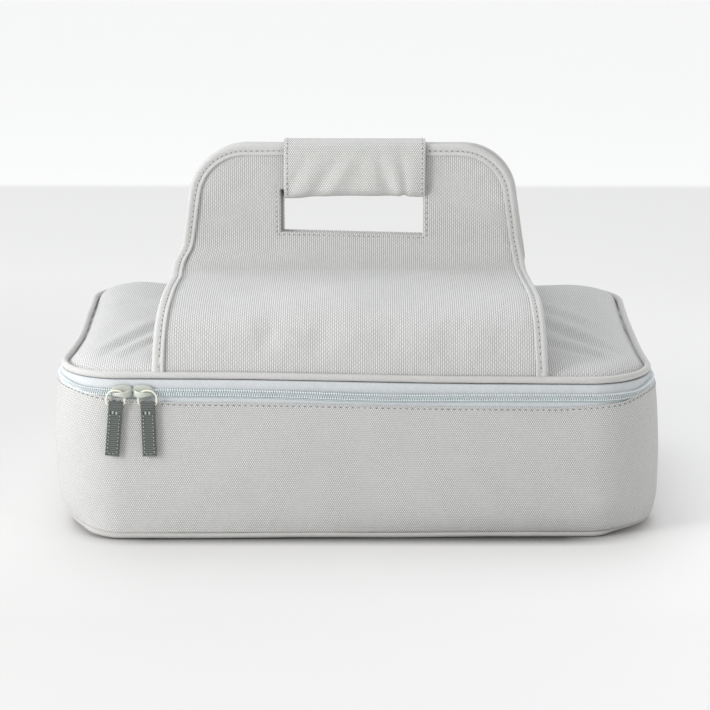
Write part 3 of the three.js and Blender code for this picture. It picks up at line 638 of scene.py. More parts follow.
def make_wall():
    """The padded outer wall, folded in at the rim, with its topstitch."""
    heights = [4.3, 5.3, 6.6, 8.8, 11.5, 14, 17, 21, 26, *range(32, 69, 6), 73, 78, 82, 85, 87.5, 89, 90.5]
    heights += [91.6, 92.3, 92.8, 93.3, 93.8, 94.3, 94.7]
    fold = [(0.1, 94.9), (0.45, 95.05), (0.85, 94.95), (1.15, 94.6)]
    inside = [(1.25, 92.0), (1.3, 60.0), (1.3, 24.0), (1.3, 4.4)]
    count = len(heights)
    behind = count + len(fold)

    def face(s, z):
        """The face with the tuck and crease of the base and the lean of the left side."""
        depth = wall_depth(s, z) + route["tuck"][:, None] * tuck_share(z)
        depth = depth + 2.2 * route["left"][:, None] * (1 - z / WALL_TOP)
        return depth + route["crease"][:, None] * bell((z - 15) / 5)

    def change(s, depth, z):
        depth[:, :count] = face(s, z[:, :count])
        depth[:, behind:] += face(s, z[:, behind:])
        x = route["x"][:, None]
        y = route["y"][:, None]
        depth = depth + rim_lean(x, y) * rim_share(z)
        return depth, z + rim_lift(x, y) * rim_share(z) + base_rise(route["lift"][:, None], z)

    def row(t):
        height = np.full_like(t, TOPSTITCH)
        x, y = at_route(route, t, "x", "y")
        depth = wall_depth(t, height) - 0.12 + rim_lean(x, y) * rim_share(height)
        place, normals = on_route(route, t, depth, height)
        place[:, 2] += rim_lift(x, y) * rim_share(height)
        return place, normals

    shell = Shell()
    sweep(shell, route, [(0.0, z) for z in heights] + fold + inside, change)
    wall = settle(shell.build("tub_wall", "dotted"), "tub", "grey_fabric", "wall_fabric", "wall_foam")
    shell = Shell()
    sew(shell, row, route["total"])
    settle(shell.build("tub_topstitch", "thread", "hole"), "tub", "grey_fabric")


def make_piping(name, look, body, inset, height, radius, node, seed, lift):
    """A corded edge that runs round the box and wanders a little."""
    angles = np.arange(14) * 2 * math.pi / 14
    section = [(radius * math.cos(a), height + radius * math.sin(a)) for a in angles]

    def change(s, depth, z):
        swell = 1 + 0.035 * ripple(s, 0 * s, 34.0, seed)
        depth = inset[:, None] + depth * swell + 0.22 * ripple(s, 0 * s, 88.0, seed + 1)
        z = height + (z - height) * swell + 0.25 * ripple(s, 0 * s, 120.0, seed + 2)
        return depth, z + lift[:, None]

    shell = Shell()
    sweep(shell, route, section, change)
    settle(shell.build(name, look), body, "piping", node)


def make_base():
    """The flat base with its rounded edge, a little hollow inside it."""
    def hollow(x, y):
        return 0.25 + 0.2 * ripple(x, y, 90.0, 5.0)

    levels = [(0.02, 3.3), (0.9, 3.3), (0.985, 3.2), (0.994, 2.6), (0.99, 1.8), (0.975, 0.9), (0.955, 0.25)]
    levels += [(0.935, 0.0), (0.91, 0.05)]
    levels += [(share, hollow) for share in np.linspace(0.86, 0.02, 14)]
    shell = Shell()
    disc(shell, route, route["tuck"] + route["under"] + 1.2, levels)
    settle(shell.build("tub_base", "dotted"), "tub", "grey_fabric", "base_panel", "base_board", "base_foam")


def make_lining():
    """The coated lining: walls that hang a little slack, rounded into a creased floor."""
    outer = 6.9
    inner = 7.6
    low = 9.2
    fillet = 6

    def slack(s, depth, z):
        wave = 0.35 * ripple(s, z, 46.0, 6.0) + 0.25 * ripple(s, z, 21.0, 7.0)
        share = unit((z - 16) / 20) * unit((90 - z) / 20)
        tuck = route["tuck"][:, None] * tuck_share(z)
        return depth + tuck + np.where(depth > 7.2, 0.4 + wave, 0.0) * share, z

    def floor(x, y):
        return 9.85 + 0.35 * ripple(x, y, 70.0, 8.0) ** 2 + 0.1 * ripple(x, y, 24.0, 9.0)

    section = [(outer, low), (outer, 50.0), (outer, 92.2), (7.25, 92.5)]
    section += [(inner, z) for z in np.linspace(17, 92, 22)[::-1]]
    for a in np.linspace(0, math.pi / 2, 7):
        section.append((inner + fillet * (1 - math.cos(a)), 15.9 - fillet * math.sin(a)))
    section.append((inner + 6.5, low))
    levels = [(0.02, 9.1), (0.99, 9.1), (1.0, 9.6)]
    levels += [(share, floor) for share in np.linspace(0.995, 0.02, 18)]
    shell = Shell()
    sweep(shell, route, section, slack)
    disc(shell, route, inner + 5.0 + 0.7 * route["tuck"], levels)
    settle(shell.build("tub_lining", "lining"), "tub", "lining", "tub_liner", "liner_floor")


def make_rim_tapes():
    """The bindings inside: one over the tub's rim, one in the corner under the lid."""
    over = [(2.7, 86.3), (2.6, 90.0), (2.6, 92.6), (2.9, 93.3), (3.5, 93.6), (5.6, 93.75), (7.7, 93.6)]
    over += [(8.4, 93.3), (8.7, 92.6), (8.8, 90.0), (8.7, 86.3), (8.3, 86.0), (7.9, 86.3), (7.9, 91.6)]
    over += [(7.4, 92.5), (5.6, 92.7), (3.9, 92.5), (3.45, 91.6), (3.4, 86.3), (3.0, 86.0)]
    under = [(4.9, 110.4), (4.85, 107.0), (5.0, 105.7), (5.5, 105.25), (7.0, 105.15), (12.4, 105.2)]
    under += [(12.95, 105.5), (12.6, 105.95), (7.2, 106.0), (6.0, 106.3), (5.7, 107.2), (5.65, 110.4)]
    under += [(5.3, 110.6)]
    for body, section, pull in (("tub", over, 0.0), ("lid", under, route["pull"][:, None])):

        def soften(s, depth, z, pull=pull):
            z_wave = 0.12 * ripple(s, depth * 9, 52.0, 12.0)
            return depth + 0.12 * ripple(s, z, 38.0, 11.0) + pull, z + z_wave

        shell = Shell()
        sweep(shell, route, section, soften)
        settle(shell.build(f"{body}_rim_tape", "binding"), body, "binding", f"{body}_rim_binding")


# Zip
def zip_lean(x, y, pull, z):
    """How far the zip lies in behind the leaning rim, and above it leans towards a lid that is drawn in."""
    behind = rim_lean(x, y)
    return behind + (pull - behind) * unit((z - 95) / 16)


def zip_lift(x, y, z):
    """The zip follows the raised rim round the corners, up to where it is sewn to the lid."""
    return cornered(x, y, ZIP_LIFT) * unit((110 - z) / 8)


def on_zip(t, depth, z):
    """Points of the closed coil and their outward normals at distances t along the zip. It sags along
    the middle of the front and rises towards the corners."""
    x, y, pull = at_route(zip_route, t, "x", "y", "pull")
    path, normals = on_route(zip_route, t, depth + zip_lean(x, y, pull, ZIP_LINE), z)
    bow = unit(-path[:, 1] / HALF_DEPTH) * (0.6 - 1.3 * bell((path[:, 0] - 12) / 62))
    path[:, 2] += bow + zip_lift(x, y, ZIP_LINE)
    return path, normals


def rounded_bar(d0, d1, z0, z1, r):
    """A flat strip's section with rounded ends, as (depth, z) pairs."""
    points = []
    centres = [(d1 - r, z1 - r, 0), (d0 + r, z1 - r, 90), (d0 + r, z0 + r, 180), (d1 - r, z0 + r, 270)]
    for cd, cz, a0 in centres:
        for a in (0, 30, 60, 90):
            angle = math.radians(a0 + a)
            points.append((cd + r * math.cos(angle), cz + r * math.sin(angle)))
    return points


def make_zip_tapes():
    """The cloth tapes above and below the coils."""
    upper = [(1.5, 103.0), (1.5, 107.5), (1.5, 109.4), (1.65, 110.0), (2.0, 110.25), (3.4, 110.3)]
    upper += [(4.8, 110.3), (4.8, 109.7), (2.6, 109.5), (2.3, 108.0), (2.2, 103.0), (1.85, 102.8)]

    def sag(s, depth, z):
        x, y, pull = [zip_route[k][:, None] for k in ("x", "y", "pull")]
        depth = depth + 0.1 * ripple(s, z, 64.0, 13.0) + zip_lean(x, y, pull, z)
        return depth, z + zip_lift(x, y, z) + rear_lift(x, y) * unit((z - 104) / 6)

    lower = rounded_bar(1.5, 2.2, 87.0, 98.6, 0.3)
    for name, body, section in (("lower", "tub", lower), ("upper", "lid", upper)):
        shell = Shell()
        sweep(shell, zip_route, section, sag, closed=False)
        settle(shell.build(f"{name}_zip_cloth", "zip_tape"), body, "zip_tape", f"{name}_zip_tape")


def make_coils():
    """The two wound halves of the zip, each with its core, and the rows of thread that hold them. Under the
    lower one, a darker cord is a painted shadow line.
    """
    start = zip_route["s"][0]
    total = zip_route["s"][-1] - start
    turns = round(total / COIL_PITCH)
    pitch = total / turns
    # One turn of the wire: share of the pitch, depth and height from the coil's root
    wire = np.array([(0.0, 0.4, 0.2), (0.06, 0.2, 1.2), (0.1, 0.6, 2.1), (0.14, 1.5, 2.5), (0.18, 2.3, 2.1),
                     (0.24, 2.6, 1.0), (0.5, 2.7, 0.1), (0.9, 1.2, -0.05)])
    k = np.arange(turns - 1)
    for name, body, way, shift in (("lower", "tub", 1, 0.25), ("upper", "lid", -1, 0.75)):
        root = ZIP_LINE - way * 2.2
        t = ((k[:, None] + shift) * pitch + wire[None, :, 0] * pitch).ravel() + start
        height = root + way * np.tile(wire[:, 2], len(k))
        path, normals = on_zip(t, np.tile(wire[:, 1], len(k)), height)
        along = xyz(-normals[:, 1], normals[:, 0], 0.0)
        step = headings(path)
        shell = Shell()
        rod(shell, path, step, along - step * np.sum(along * step, axis=1)[:, None], 0.42, 5)
        cords = [(1.6, root + way * 1.2, 0.95)]
        # Under the lower coil, a second cord in the core's darker colour: a painted shadow line.
        if way > 0:
            cords.append((1.65, root - 1.0, 0.75))
        for depth, height, radius in cords:
            cord, _ = on_zip(zip_route["s"], depth, height)
            tube(shell, cord, radius, (0, 0, 1), 6, kind=1)
        t = (k + shift + 0.04) * pitch + start
        middles, normals = on_zip(t, 0.1, root + way * 0.4)
        for place, middle, n in zip(t, middles, normals):
            path = middle + np.array([-n[1], n[0], 0.0]) * np.array([-0.62, -0.3, 0.3, 0.62])[:, None]
            tube(shell, path, [0.2, 0.52, 0.52, 0.2], n, 6, kind=2, start=place)
        coil = shell.build(f"{name}_coil", "coil", "coil_core_and_painted_shadow", "coil_thread")
        settle(coil, body, "zip_coil", f"{name}_zip_coil")


def make_hinge():
    """The cloth strip along the back that joins the lid to the tub between the ends of the zip."""
    x = np.linspace(-HINGE_HALF, HINGE_HALF, 91)[:, None]
    heights = [88, 92, 95, 96.5, 98, 99, 100, 100.7, 101.4, 102.1, 102.8, 104, 105.5, 107.5, 109.5, 111.2]
    heights = np.array(heights)
    face = HALF_DEPTH - 1.45 + 0.35 * bell((heights - ZIP_LINE) / 2.5)
    y = np.concatenate([face, face[::-1] - 0.85])
    z = np.concatenate([heights, heights[::-1]])
    shell = Shell()
    shell.loops(xyz(x, y + 0.12 * ripple(x, z * 2, 40.0, 14.0), z), 0, 2)
    strip = shell.build("hinge_strip", "dotted")
    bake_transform(strip)
    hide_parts("hinge_lower", "hinge_upper")


def make_zip_ends():
    """A small padded patch over each end of the zip."""
    half = 6
    low = 89
    top = 100.8
    for side, middle in (("left", -ZIP_END), ("right", ZIP_END)):
        x = middle + np.linspace(-half, half, 13)[:, None]
        z = np.linspace(low, top, 13)[None]
        edge = np.minimum(half - np.abs(x - middle), np.minimum(z - low, top - z))
        puff = 0.9 * (1 - np.exp(-edge / 0.7)) + 0.15
        y = HALF_DEPTH + 0.25 + puff + 0.55 * np.sin(math.pi * unit((z - 6) / 89))
        shell = Shell()
        slab(shell, xyz(x, y, z), xyz(x, HALF_DEPTH - 1.2, z), x, z)
        settle(shell.build(f"{side}_zip_patch", "dotted"), "tub", "grey_fabric", f"{side}_zip_stop")


# Lid: its folds as start, end, width and height
LID_FOLDS = [
    ((-188, -134), (-143, 18), 8, 1.4), ((-178, -134), (-138, 2), 7, -1.3),
    ((-168, -128), (-134, -30), 6, 1.2), ((-160, -126), (-130, -48), 6, -1.0),
    ((-190, 30), (-130, 90), 12, -0.8),
    ((130, 31), (186, -85), 8, 2.0), ((128, 7), (186, -105), 7, -1.9),
    ((132, -45), (190, -128), 8, 1.6), ((130, -69), (184, -130), 7, -1.5),
    ((132, 69), (182, -19), 8, 1.5), ((132, 51), (180, -33), 7, -1.3),
]


def ridge(x, y, a, b, width, height):
    """A soft fold from a to b that fades at both ends."""
    a = np.array(a, float)
    d = np.array(b, float) - a
    length = np.hypot(*d)
    t = ((x - a[0]) * d[0] + (y - a[1]) * d[1]) / length**2
    off = ((y - a[1]) * d[0] - (x - a[0]) * d[1]) / length
    return height * np.sin(math.pi * unit(t)) ** 0.7 * bell(off / width)


def lid_height(x, y):
    """The lid's upper face: rounded at the seam, gently at its sides, with folds and a soft unevenness."""
    edge = CORNER - LID_EDGE
    past_x = np.maximum(edge - (HALF_WIDTH - LID_EDGE - np.abs(x)), 0)
    past_y = np.maximum(edge - (HALF_DEPTH - LID_EDGE - np.abs(y)), 0)
    inwards = np.maximum(edge - np.hypot(past_x, past_y), 0)
    beside = unit((np.abs(x) - 140) / 30)
    groove = 3.0 * beside * np.exp(-inwards / 1.1)
    inwards = np.maximum(inwards - 1.0 * beside, 0)
    roll = np.sqrt(unit(1 - unit(1 - inwards / 17.0) ** 2.4))
    crown = 0.72 * roll + 0.28 * (1 - np.exp(-inwards / 22.0))
    gentle = 1 - np.exp(-inwards / np.where(x < 0, 10.0, 8.0))
    crown = LID_CROWN * (crown + beside * ease((115 - y) / 50) * (gentle - crown))
    folds = sum(ridge(x, y, *fold) for fold in LID_FOLDS)
    soft = 0.5 * ripple(x, y, 95.0, 15.0) + 0.25 * ripple(x, y, 43.0, 16.0)
    corner_lift = rear_lift(x, y) * np.where(x < 0, 1.0, np.exp(-inwards / 14.0))
    return LID_SEAM + corner_lift - groove + crown + unit(inwards / 22.0) * (folds + soft + 0.3)


def lid_under(x, y):
    """The height of the lid's lining."""
    crown = 106.35 + LID_CROWN * 0.6 * unit(1 - np.hypot(x / 204, y / 136) ** 2)
    return crown + (0.3 * ripple(x, y, 58.0, 17.0) + 0.15 * ripple(x, y, 23.0, 18.0))


def make_lid():
    """The padded cover and the lining under it."""
    levels = [(0.02, 108.0), (0.97, 107.6), (0.992, 109.0), (0.998, 111.0), (1.003, 112.4)]
    levels += [(share, lid_height) for share in 1.003 - np.linspace(0, 1, 72) ** 1.6 * 0.983]
    fine_route = around_box(2.6)
    shell = Shell()
    disc(shell, fine_route, LID_EDGE, levels, fine_route["pull"])
    lid = settle(shell.build("lid_cover", "ribbed"), "lid", "grey_fabric", "lid_panel", "lid_foam")
    levels = [(0.02, 107.9), (0.96, 107.4), (0.985, 107.0), (0.99, 106.5)]
    levels += [(share, lid_under) for share in np.linspace(0.985, 0.02, 24)]
    shell = Shell()
    disc(shell, route, LID_EDGE, levels, route["pull"])
    settle(shell.build("lid_lining", "lining"), "lid", "lining", "lid_liner")


# Handle panels: x across, s up along the cloth from the lid's seam, n out of its face
def handle_line():
    """The cloth's line in the side view: rows of s, y, z and heading."""
    foot = np.array([-HEM_Y, ARCH_FOOT])
    head = np.array([-0.3, 161.8])
    arrive = (97.0, 1.8)
    ctrl = [foot, foot + (2.0, 40.0), head - arrive, head]
    t = np.linspace(0, 1, 1200)[:, None]
    curve = (1 - t) ** 3 * ctrl[0] + 3 * (1 - t) ** 2 * t * ctrl[1]
    curve = curve + 3 * (1 - t) * t**2 * ctrl[2] + t**3 * ctrl[3]
    slope = math.atan2(arrive[1], arrive[0])
    curve = curve[curve[:, 0] < -GRIP_Y - CREASE_RADIUS * (1 - math.sin(slope))]
    hem = np.stack([np.full(8, -HEM_Y), np.linspace(HEM_LOW, ARCH_FOOT, 8, endpoint=False)], axis=1)
    heading = np.linspace(slope, math.pi / 2, 40)[1:]
    bend_y = curve[-1, 0] + CREASE_RADIUS * (np.sin(heading) - math.sin(slope))
    bend_z = curve[-1, 1] + CREASE_RADIUS * (math.cos(slope) - np.cos(heading))
    rise_z = np.linspace(bend_z[-1], PANEL_TOP + 2, 60)[1:]
    rise = np.stack([np.full(len(rise_z), bend_y[-1]), rise_z], axis=1)
    line = np.concatenate([hem, curve, np.stack([bend_y, bend_z], axis=1), rise])
    s = lengths(line)
    even = np.arange(0, s[-1], 0.5)
    y = np.interp(even, s, line[:, 0])
    z = np.interp(even, s, line[:, 1])
    angle = np.unwrap(np.arctan2(np.gradient(z), np.gradient(y)))
    angle = np.convolve(np.pad(angle, 3, mode="edge"), np.ones(7) / 7, mode="valid")
    return even, y, z, angle


LINE_S, LINE_Y, LINE_Z, LINE_ANGLE = handle_line()
S_TOP = float(np.interp(PANEL_TOP, LINE_Z[LINE_S > 150], LINE_S[LINE_S > 150]))
RISE = PANEL_TOP - S_TOP
S_CREASE = CREASE_HEIGHT - RISE
S_SLOT_LOW = SLOT_LOW - RISE
S_SLOT_TOP = SLOT_TOP - RISE
S_ROUND = S_TOP - PANEL_CORNER
ROUND_X = CREASE_HALF - (PANEL_CORNER + (S_ROUND - S_CREASE) * math.sin(TAPER)) / math.cos(TAPER)
S_TANGENT = S_ROUND + PANEL_CORNER * math.sin(TAPER)


def half_width(s):
    """Half of the panel's width at s."""
    low = BASE_HALF + (CREASE_HALF - BASE_HALF) * unit((s - 6) / (S_CREASE - 6))
    side = CREASE_HALF - (s - S_CREASE) * math.tan(TAPER)
    rise = np.clip((s - S_ROUND) / PANEL_CORNER, -1, 1)
    corner = ROUND_X + PANEL_CORNER * np.sqrt(1 - rise**2)
    return np.where(s < S_CREASE, low, np.where(s < S_TANGENT, side, corner))


def swing(x, s):
    """The slow waves of the whole panel, out of its plane."""
    arch = unit((s - 14) / 40) * unit((S_CREASE - 4 - s) / 40)
    upper = unit((s - S_CREASE - 12) / 30) * unit((S_TOP - s) / 30)
    dents = 0.0
    for place, width, depth in ((-62, 8, 1.5), (-26, 9, 1.2), (18, 12, 0.8), (62, 10, 1.0), (96, 8, 0.7)):
        dents = dents - depth * bell((x - place - 0.25 * s) / width)
    dents = dents * bell((s - 22) / 17) * unit((s - 8) / 12)
    wings = 5.0 * unit((s - S_CREASE) / 40) * (np.maximum(np.abs(x) - 20, 0) / 100) ** 2
    waves = 1.6 * arch * ripple(x, s, 120.0, 19.0)
    return waves + dents + 0.5 * upper * (1 + ripple(x, s, 105.0, 20.0)) + wings


def slot_drop(x, s):
    """How far the slot's foot hangs below its drawn line, more at the right."""
    beyond = np.maximum(np.abs(x) - SLOT_HALF, 0)
    near = bell((s - S_SLOT_LOW) / 9) * bell(beyond / 8)
    return -near * (1.6 + 1.25 * np.clip(x / SLOT_HALF, -1, 1))


def on_panel(x, s, n, flip):
    """The place in space of points of a panel's flat pattern, mirrored for the rear handle."""
    x, s, n = np.broadcast_arrays(np.asarray(x, float), s, n)
    angle = np.interp(s, LINE_S, LINE_ANGLE)
    lift = n + swing(x, s)
    grip_shift = FRONT_GRIP_SHIFT if flip > 0 else GRIP_SHIFT
    spread = 4.2 * ease((S_CREASE + 13 - s) / 20) * ease((s - S_CREASE + 52) / 44)
    x = x - spread * unit(-x / CREASE_HALF) ** 2
    x = x + FOOT_SHIFT + (grip_shift - FOOT_SHIFT) * unit((s - 10) / (S_CREASE - 10))
    y = flip * (np.interp(s, LINE_S, LINE_Y) - np.sin(angle) * lift)
    z = np.interp(s, LINE_S, LINE_Z) + np.cos(angle) * lift
    return xyz(x, y, z + slump(x, -flip * HEM_Y, WALL_TOP) * unit((60 - s) / 50))


def on_face(x, s, face, depth, flip):
    """A place over one face of a panel, and the direction out of it."""
    place = on_panel(x, s, face * depth, flip)
    return place, on_panel(x, s, face * (depth + 1.0), flip) - place


def edge_line():
    """The panel's outer edge in its flat pattern from left foot to right foot, with the direction inwards."""
    s_low = np.arange(0, S_TANGENT, 2.0)
    half = half_width(s_low)
    ds = np.gradient(half, s_low)
    norm = np.hypot(1, ds)
    side = np.stack([half, s_low, -1 / norm, ds / norm], axis=1)
    angle = np.linspace(TAPER, math.pi / 2, 30)
    cos = np.cos(angle)
    sin = np.sin(angle)
    corner = np.stack([ROUND_X + PANEL_CORNER * cos, S_ROUND + PANEL_CORNER * sin, -cos, -sin], axis=1)
    top = np.array([(x, S_TOP, 0.0, -1.0) for x in np.arange(ROUND_X - 2.5, 0, -2.5)])
    right = np.concatenate([side, corner, top])
    left = right * np.array([-1, 1, -1, 1])
    return np.concatenate([left, right[::-1]])


EDGE = edge_line()
EDGE_T = lengths(EDGE[:, :2])


def bend_foot(piece):
    """Bakes a piece's placement into its mesh: a piece between the lid and the lower part of a handle."""
    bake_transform(piece)


def bend_crease(piece):
    """Bakes a piece's placement into its mesh: a piece between the lower part of a handle and its grip."""
    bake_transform(piece)


# Distances from the slot's edge at which the panel's cells are close together
NEAR = np.array([0.35, 0.8, 1.4, 2.2, 3.0, 3.8, 5.0])


def panel_rows():
    """The values of s at which the panel has rows of points: close at the crease, slot and top."""
    near = np.concatenate([-NEAR[::-1], [0, 0.5, 1.2, 2.5]])
    parts = [np.arange(0, S_CREASE - 8, 2.4), np.arange(S_CREASE - 8, S_CREASE + 9, 1.0)]
    parts += [S_SLOT_LOW + near, S_SLOT_TOP - near, np.arange(S_CREASE + 9, S_SLOT_LOW - 6, 2.4)]
    parts += [np.arange(S_SLOT_LOW + 4, S_SLOT_TOP - 3, 2.4), np.arange(S_SLOT_TOP + 6.5, S_TANGENT - 1, 2.0)]
    parts.append(S_ROUND + PANEL_CORNER * np.sin(np.linspace(TAPER, math.pi / 2, 22)) - EDGE_INSET)
    rows = np.unique(np.round(np.concatenate(parts), 3))
    return rows[np.concatenate([[True], np.diff(rows) > 0.2])]


def panel_sheet(rows, open_row, flip):
    """The padded sheet of a panel between two of its rows, with the hand slot cut out."""
    offsets = np.append(0, NEAR)
    free = np.linspace(-SLOT_HALF + 7.5, SLOT_HALF - 7.5, 34)
    middle = np.sort(np.concatenate([-SLOT_HALF + offsets, SLOT_HALF - offsets, free]))
    room = (half_width(np.minimum(rows, S_TOP - EDGE_INSET)) - EDGE_INSET - SLOT_HALF)[:, None]
    beside = np.repeat(NEAR[None], len(rows), axis=0)
    outer = SLOT_HALF + np.hstack([beside, NEAR[-1] + (room - NEAR[-1]) * np.arange(1, 25) / 24])
    x = np.hstack([-outer[:, ::-1], np.repeat(middle[None], len(rows), axis=0), outer])
    s = np.repeat(rows[:, None], x.shape[1], axis=1)
    above = np.maximum(np.maximum(S_SLOT_LOW - s, s - S_SLOT_TOP), 0)
    gap = np.hypot(np.maximum(np.abs(x) - SLOT_HALF, 0), above)
    lip = 0.9 * bell(gap / 0.55)
    seam = 0.3 * bell((gap - 3.0) / 0.7)
    press = 0.35 * bell((half_width(s) - np.abs(x) - BINDING_WIDTH - 0.5) / 2.0)
    face = SKIN - lip - seam - press + 0.18 * ripple(x, s, 36.0, 21.0)
    cell_x = np.abs(x[:-1, :-1] + x[:-1, 1:]) / 2
    cell_s = (s[:-1, :-1] + s[1:, :-1]) / 2
    keep = ~((cell_x < SLOT_HALF) & (cell_s > S_SLOT_LOW) & (cell_s < S_SLOT_TOP))
    hung = s + slot_drop(x, s)
    shell = Shell()
    slab(shell, on_panel(x, hung, face, flip), on_panel(x, hung, -face, flip), x, s, keep, open_row)
    return shell


def make_panel(end, flip):
    """One handle panel with its hand slot, in two pieces: the foot at the lid's seam, and the rest up over
    the crease.
    """
    rows = panel_rows()
    cut = int(np.argmin(np.abs(rows - FOOT_SPLIT)))
    foot = panel_sheet(rows[:cut + 1], cut, flip).build(f"{end}_panel_foot", "ribbed")
    bend_foot(foot)
    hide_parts(f"{end}_seam_hem")
    panel = panel_sheet(rows[cut:], 0, flip).build(f"{end}_panel", "ribbed")
    bend_crease(panel)
    layers = ("outer", "core", "inner")
    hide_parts(*[f"{end}_{part}_{layer}" for part in ("skirt", "grip") for layer in layers])


def tape_section():
    """The binding's section as (distance in from the edge, n): pressed in along its stitches."""
    half = [(0.9, 1.2), (1.6, 2.25), (4.0, 2.3), (8.0, 2.35), (8.35, 2.8), (8.15, 3.35), (7.4, 3.55)]
    half += [(6.2, 3.2), (5.4, 2.9), (5.0, 2.85), (4.6, 2.9), (3.8, 3.15), (2.8, 3.3), (1.7, 3.2)]
    half += [(0.8, 2.6), (0.2, 1.5)]
    mirrored = [(inwards, -n) for inwards, n in half[::-1]]
    return np.roll([(0.8, 0.0), *half, (0.0, 0.0), *mirrored], 4, axis=0)


TAPE_SECTION = tape_section()
TAPE_STITCH = 5.0


def make_edges(end, flip):
    """The binding folded over the panel's edge, its two rows of stitches and those round the slot."""
    girth = lengths(np.vstack([TAPE_SECTION, TAPE_SECTION[:1]]))
    low = EDGE[:, 1] <= FOOT_SPLIT + 0.01
    rim = np.arange(len(EDGE))
    foot_rows = {"left": rim[low & (EDGE[:, 0] < 0)], "right": rim[low & (EDGE[:, 0] > 0)]}
    upper_rows = np.arange(foot_rows["left"][-1], foot_rows["right"][0] + 1)
    first = EDGE_T[upper_rows[0]]
    last = EDGE_T[upper_rows[-1]]

    def strip(name, chosen):
        edge = EDGE[chosen]
        t = EDGE_T[chosen][:, None]
        x = edge[:, :1] + edge[:, 2:3] * TAPE_SECTION[None, :, 0]
        s = edge[:, 1:2] + edge[:, 3:4] * TAPE_SECTION[None, :, 0]
        n = TAPE_SECTION[None, :, 1]
        n = n * (1 + 0.04 * ripple(t, n, 31.0, 22.0))
        shell = Shell()
        shell.grid(on_panel(x, s, n, flip), t, girth[None], caps=False)
        return shell.build(name, "binding")

    def edge_row(face, t0):
        def at(t):
            t = np.clip(t + t0, 0, EDGE_T[-1])
            x, s, ux, us = [np.interp(t, EDGE_T, EDGE[:, k]) for k in range(4)]
            return on_face(x + ux * TAPE_STITCH, s + us * TAPE_STITCH, face, 2.95, flip)
        return at

    reach = 3.0
    low_s = S_SLOT_LOW - reach + 1.2
    side_x = SLOT_HALF + reach
    drop = S_SLOT_TOP - low_s - 1.0
    total = 2 * drop + 2 * side_x

    def slot_row(face):
        def at(t):
            t = np.clip(t, 0, total)
            corner = [0, drop, drop + 2 * side_x, total]
            x = np.interp(t, corner, [-side_x, -side_x, side_x, side_x])
            s = np.interp(t, corner, [low_s + drop, low_s, low_s, low_s + drop])
            return on_face(x, s + slot_drop(x, s), face, SKIN - 0.2, flip)
        return at

    for side, chosen in foot_rows.items():
        bend_foot(strip(f"{end}_edge_foot_{side}", chosen))
    binding = strip(f"{end}_edge", upper_rows)
    bend_crease(binding)
    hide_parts(f"{end}_skirt_binding_left", f"{end}_skirt_binding_right", f"{end}_grip_binding")
    shell = Shell()
    for face in (1, -1):
        sew(shell, edge_row(face, first), last - first)
    for face in (1, -1):
        sew(shell, slot_row(face), total, start=0.6, pitch=3.6)
    bend_crease(shell.build(f"{end}_stitches", "thread", "hole"))
    shell = Shell()
    for face in (1, -1):
        for chosen in foot_rows.values():
            sew(shell, edge_row(face, EDGE_T[chosen[0]]), FOOT_SPLIT, start=0.7)
    bend_foot(shell.build(f"{end}_foot_stitches", "thread", "hole"))


def turned(points, flip):
    """Points drawn for the front handle, mirrored for the rear one."""
    return points * np.array([1.0, flip, 1.0])


# The wrap's wrinkles as place, lean, width and height
WRAP_FOLDS = [
    (-41, 0.5, 4.0, -0.8), (-31, 0.6, 6.0, 0.5), (-20, 0.65, 5.0, -1.0), (-9.5, 0.65, 5.0, 0.9),
    (2, 0.4, 7.0, -0.4), (12, 0.0, 6.0, 0.4), (21, -0.25, 4.5, -1.3), (29, -0.3, 4.5, 1.0),
    (35.5, -0.1, 2.2, -1.0), (42, 0.0, 4.0, 0.5),
]
PARTING = -0.12


def wrap_line():
    """Half of the wrap's section as (y, z) pairs, from the middle of its top over the front and under."""
    front = -10.4
    top = 254.3
    low = 213.6
    r_top = 5.6
    r_low = 7.4
    line = [(PARTING, top - 0.2), (-2.0, top)]
    for a in np.linspace(0.1, math.pi / 2, 8):
        line.append((front + r_top * (1 - math.sin(a)), top - r_top * (1 - math.cos(a))))
    line += [(front, z) for z in np.linspace(top - r_top - 1.5, low + r_low + 1.5, 20)]
    for a in np.linspace(0, math.pi / 2 - 0.1, 8):
        line.append((front + r_low * (1 - math.cos(a)), low + r_low * (1 - math.sin(a))))
    return np.array(line + [(-3.0, low), (PARTING, low + 0.2)])


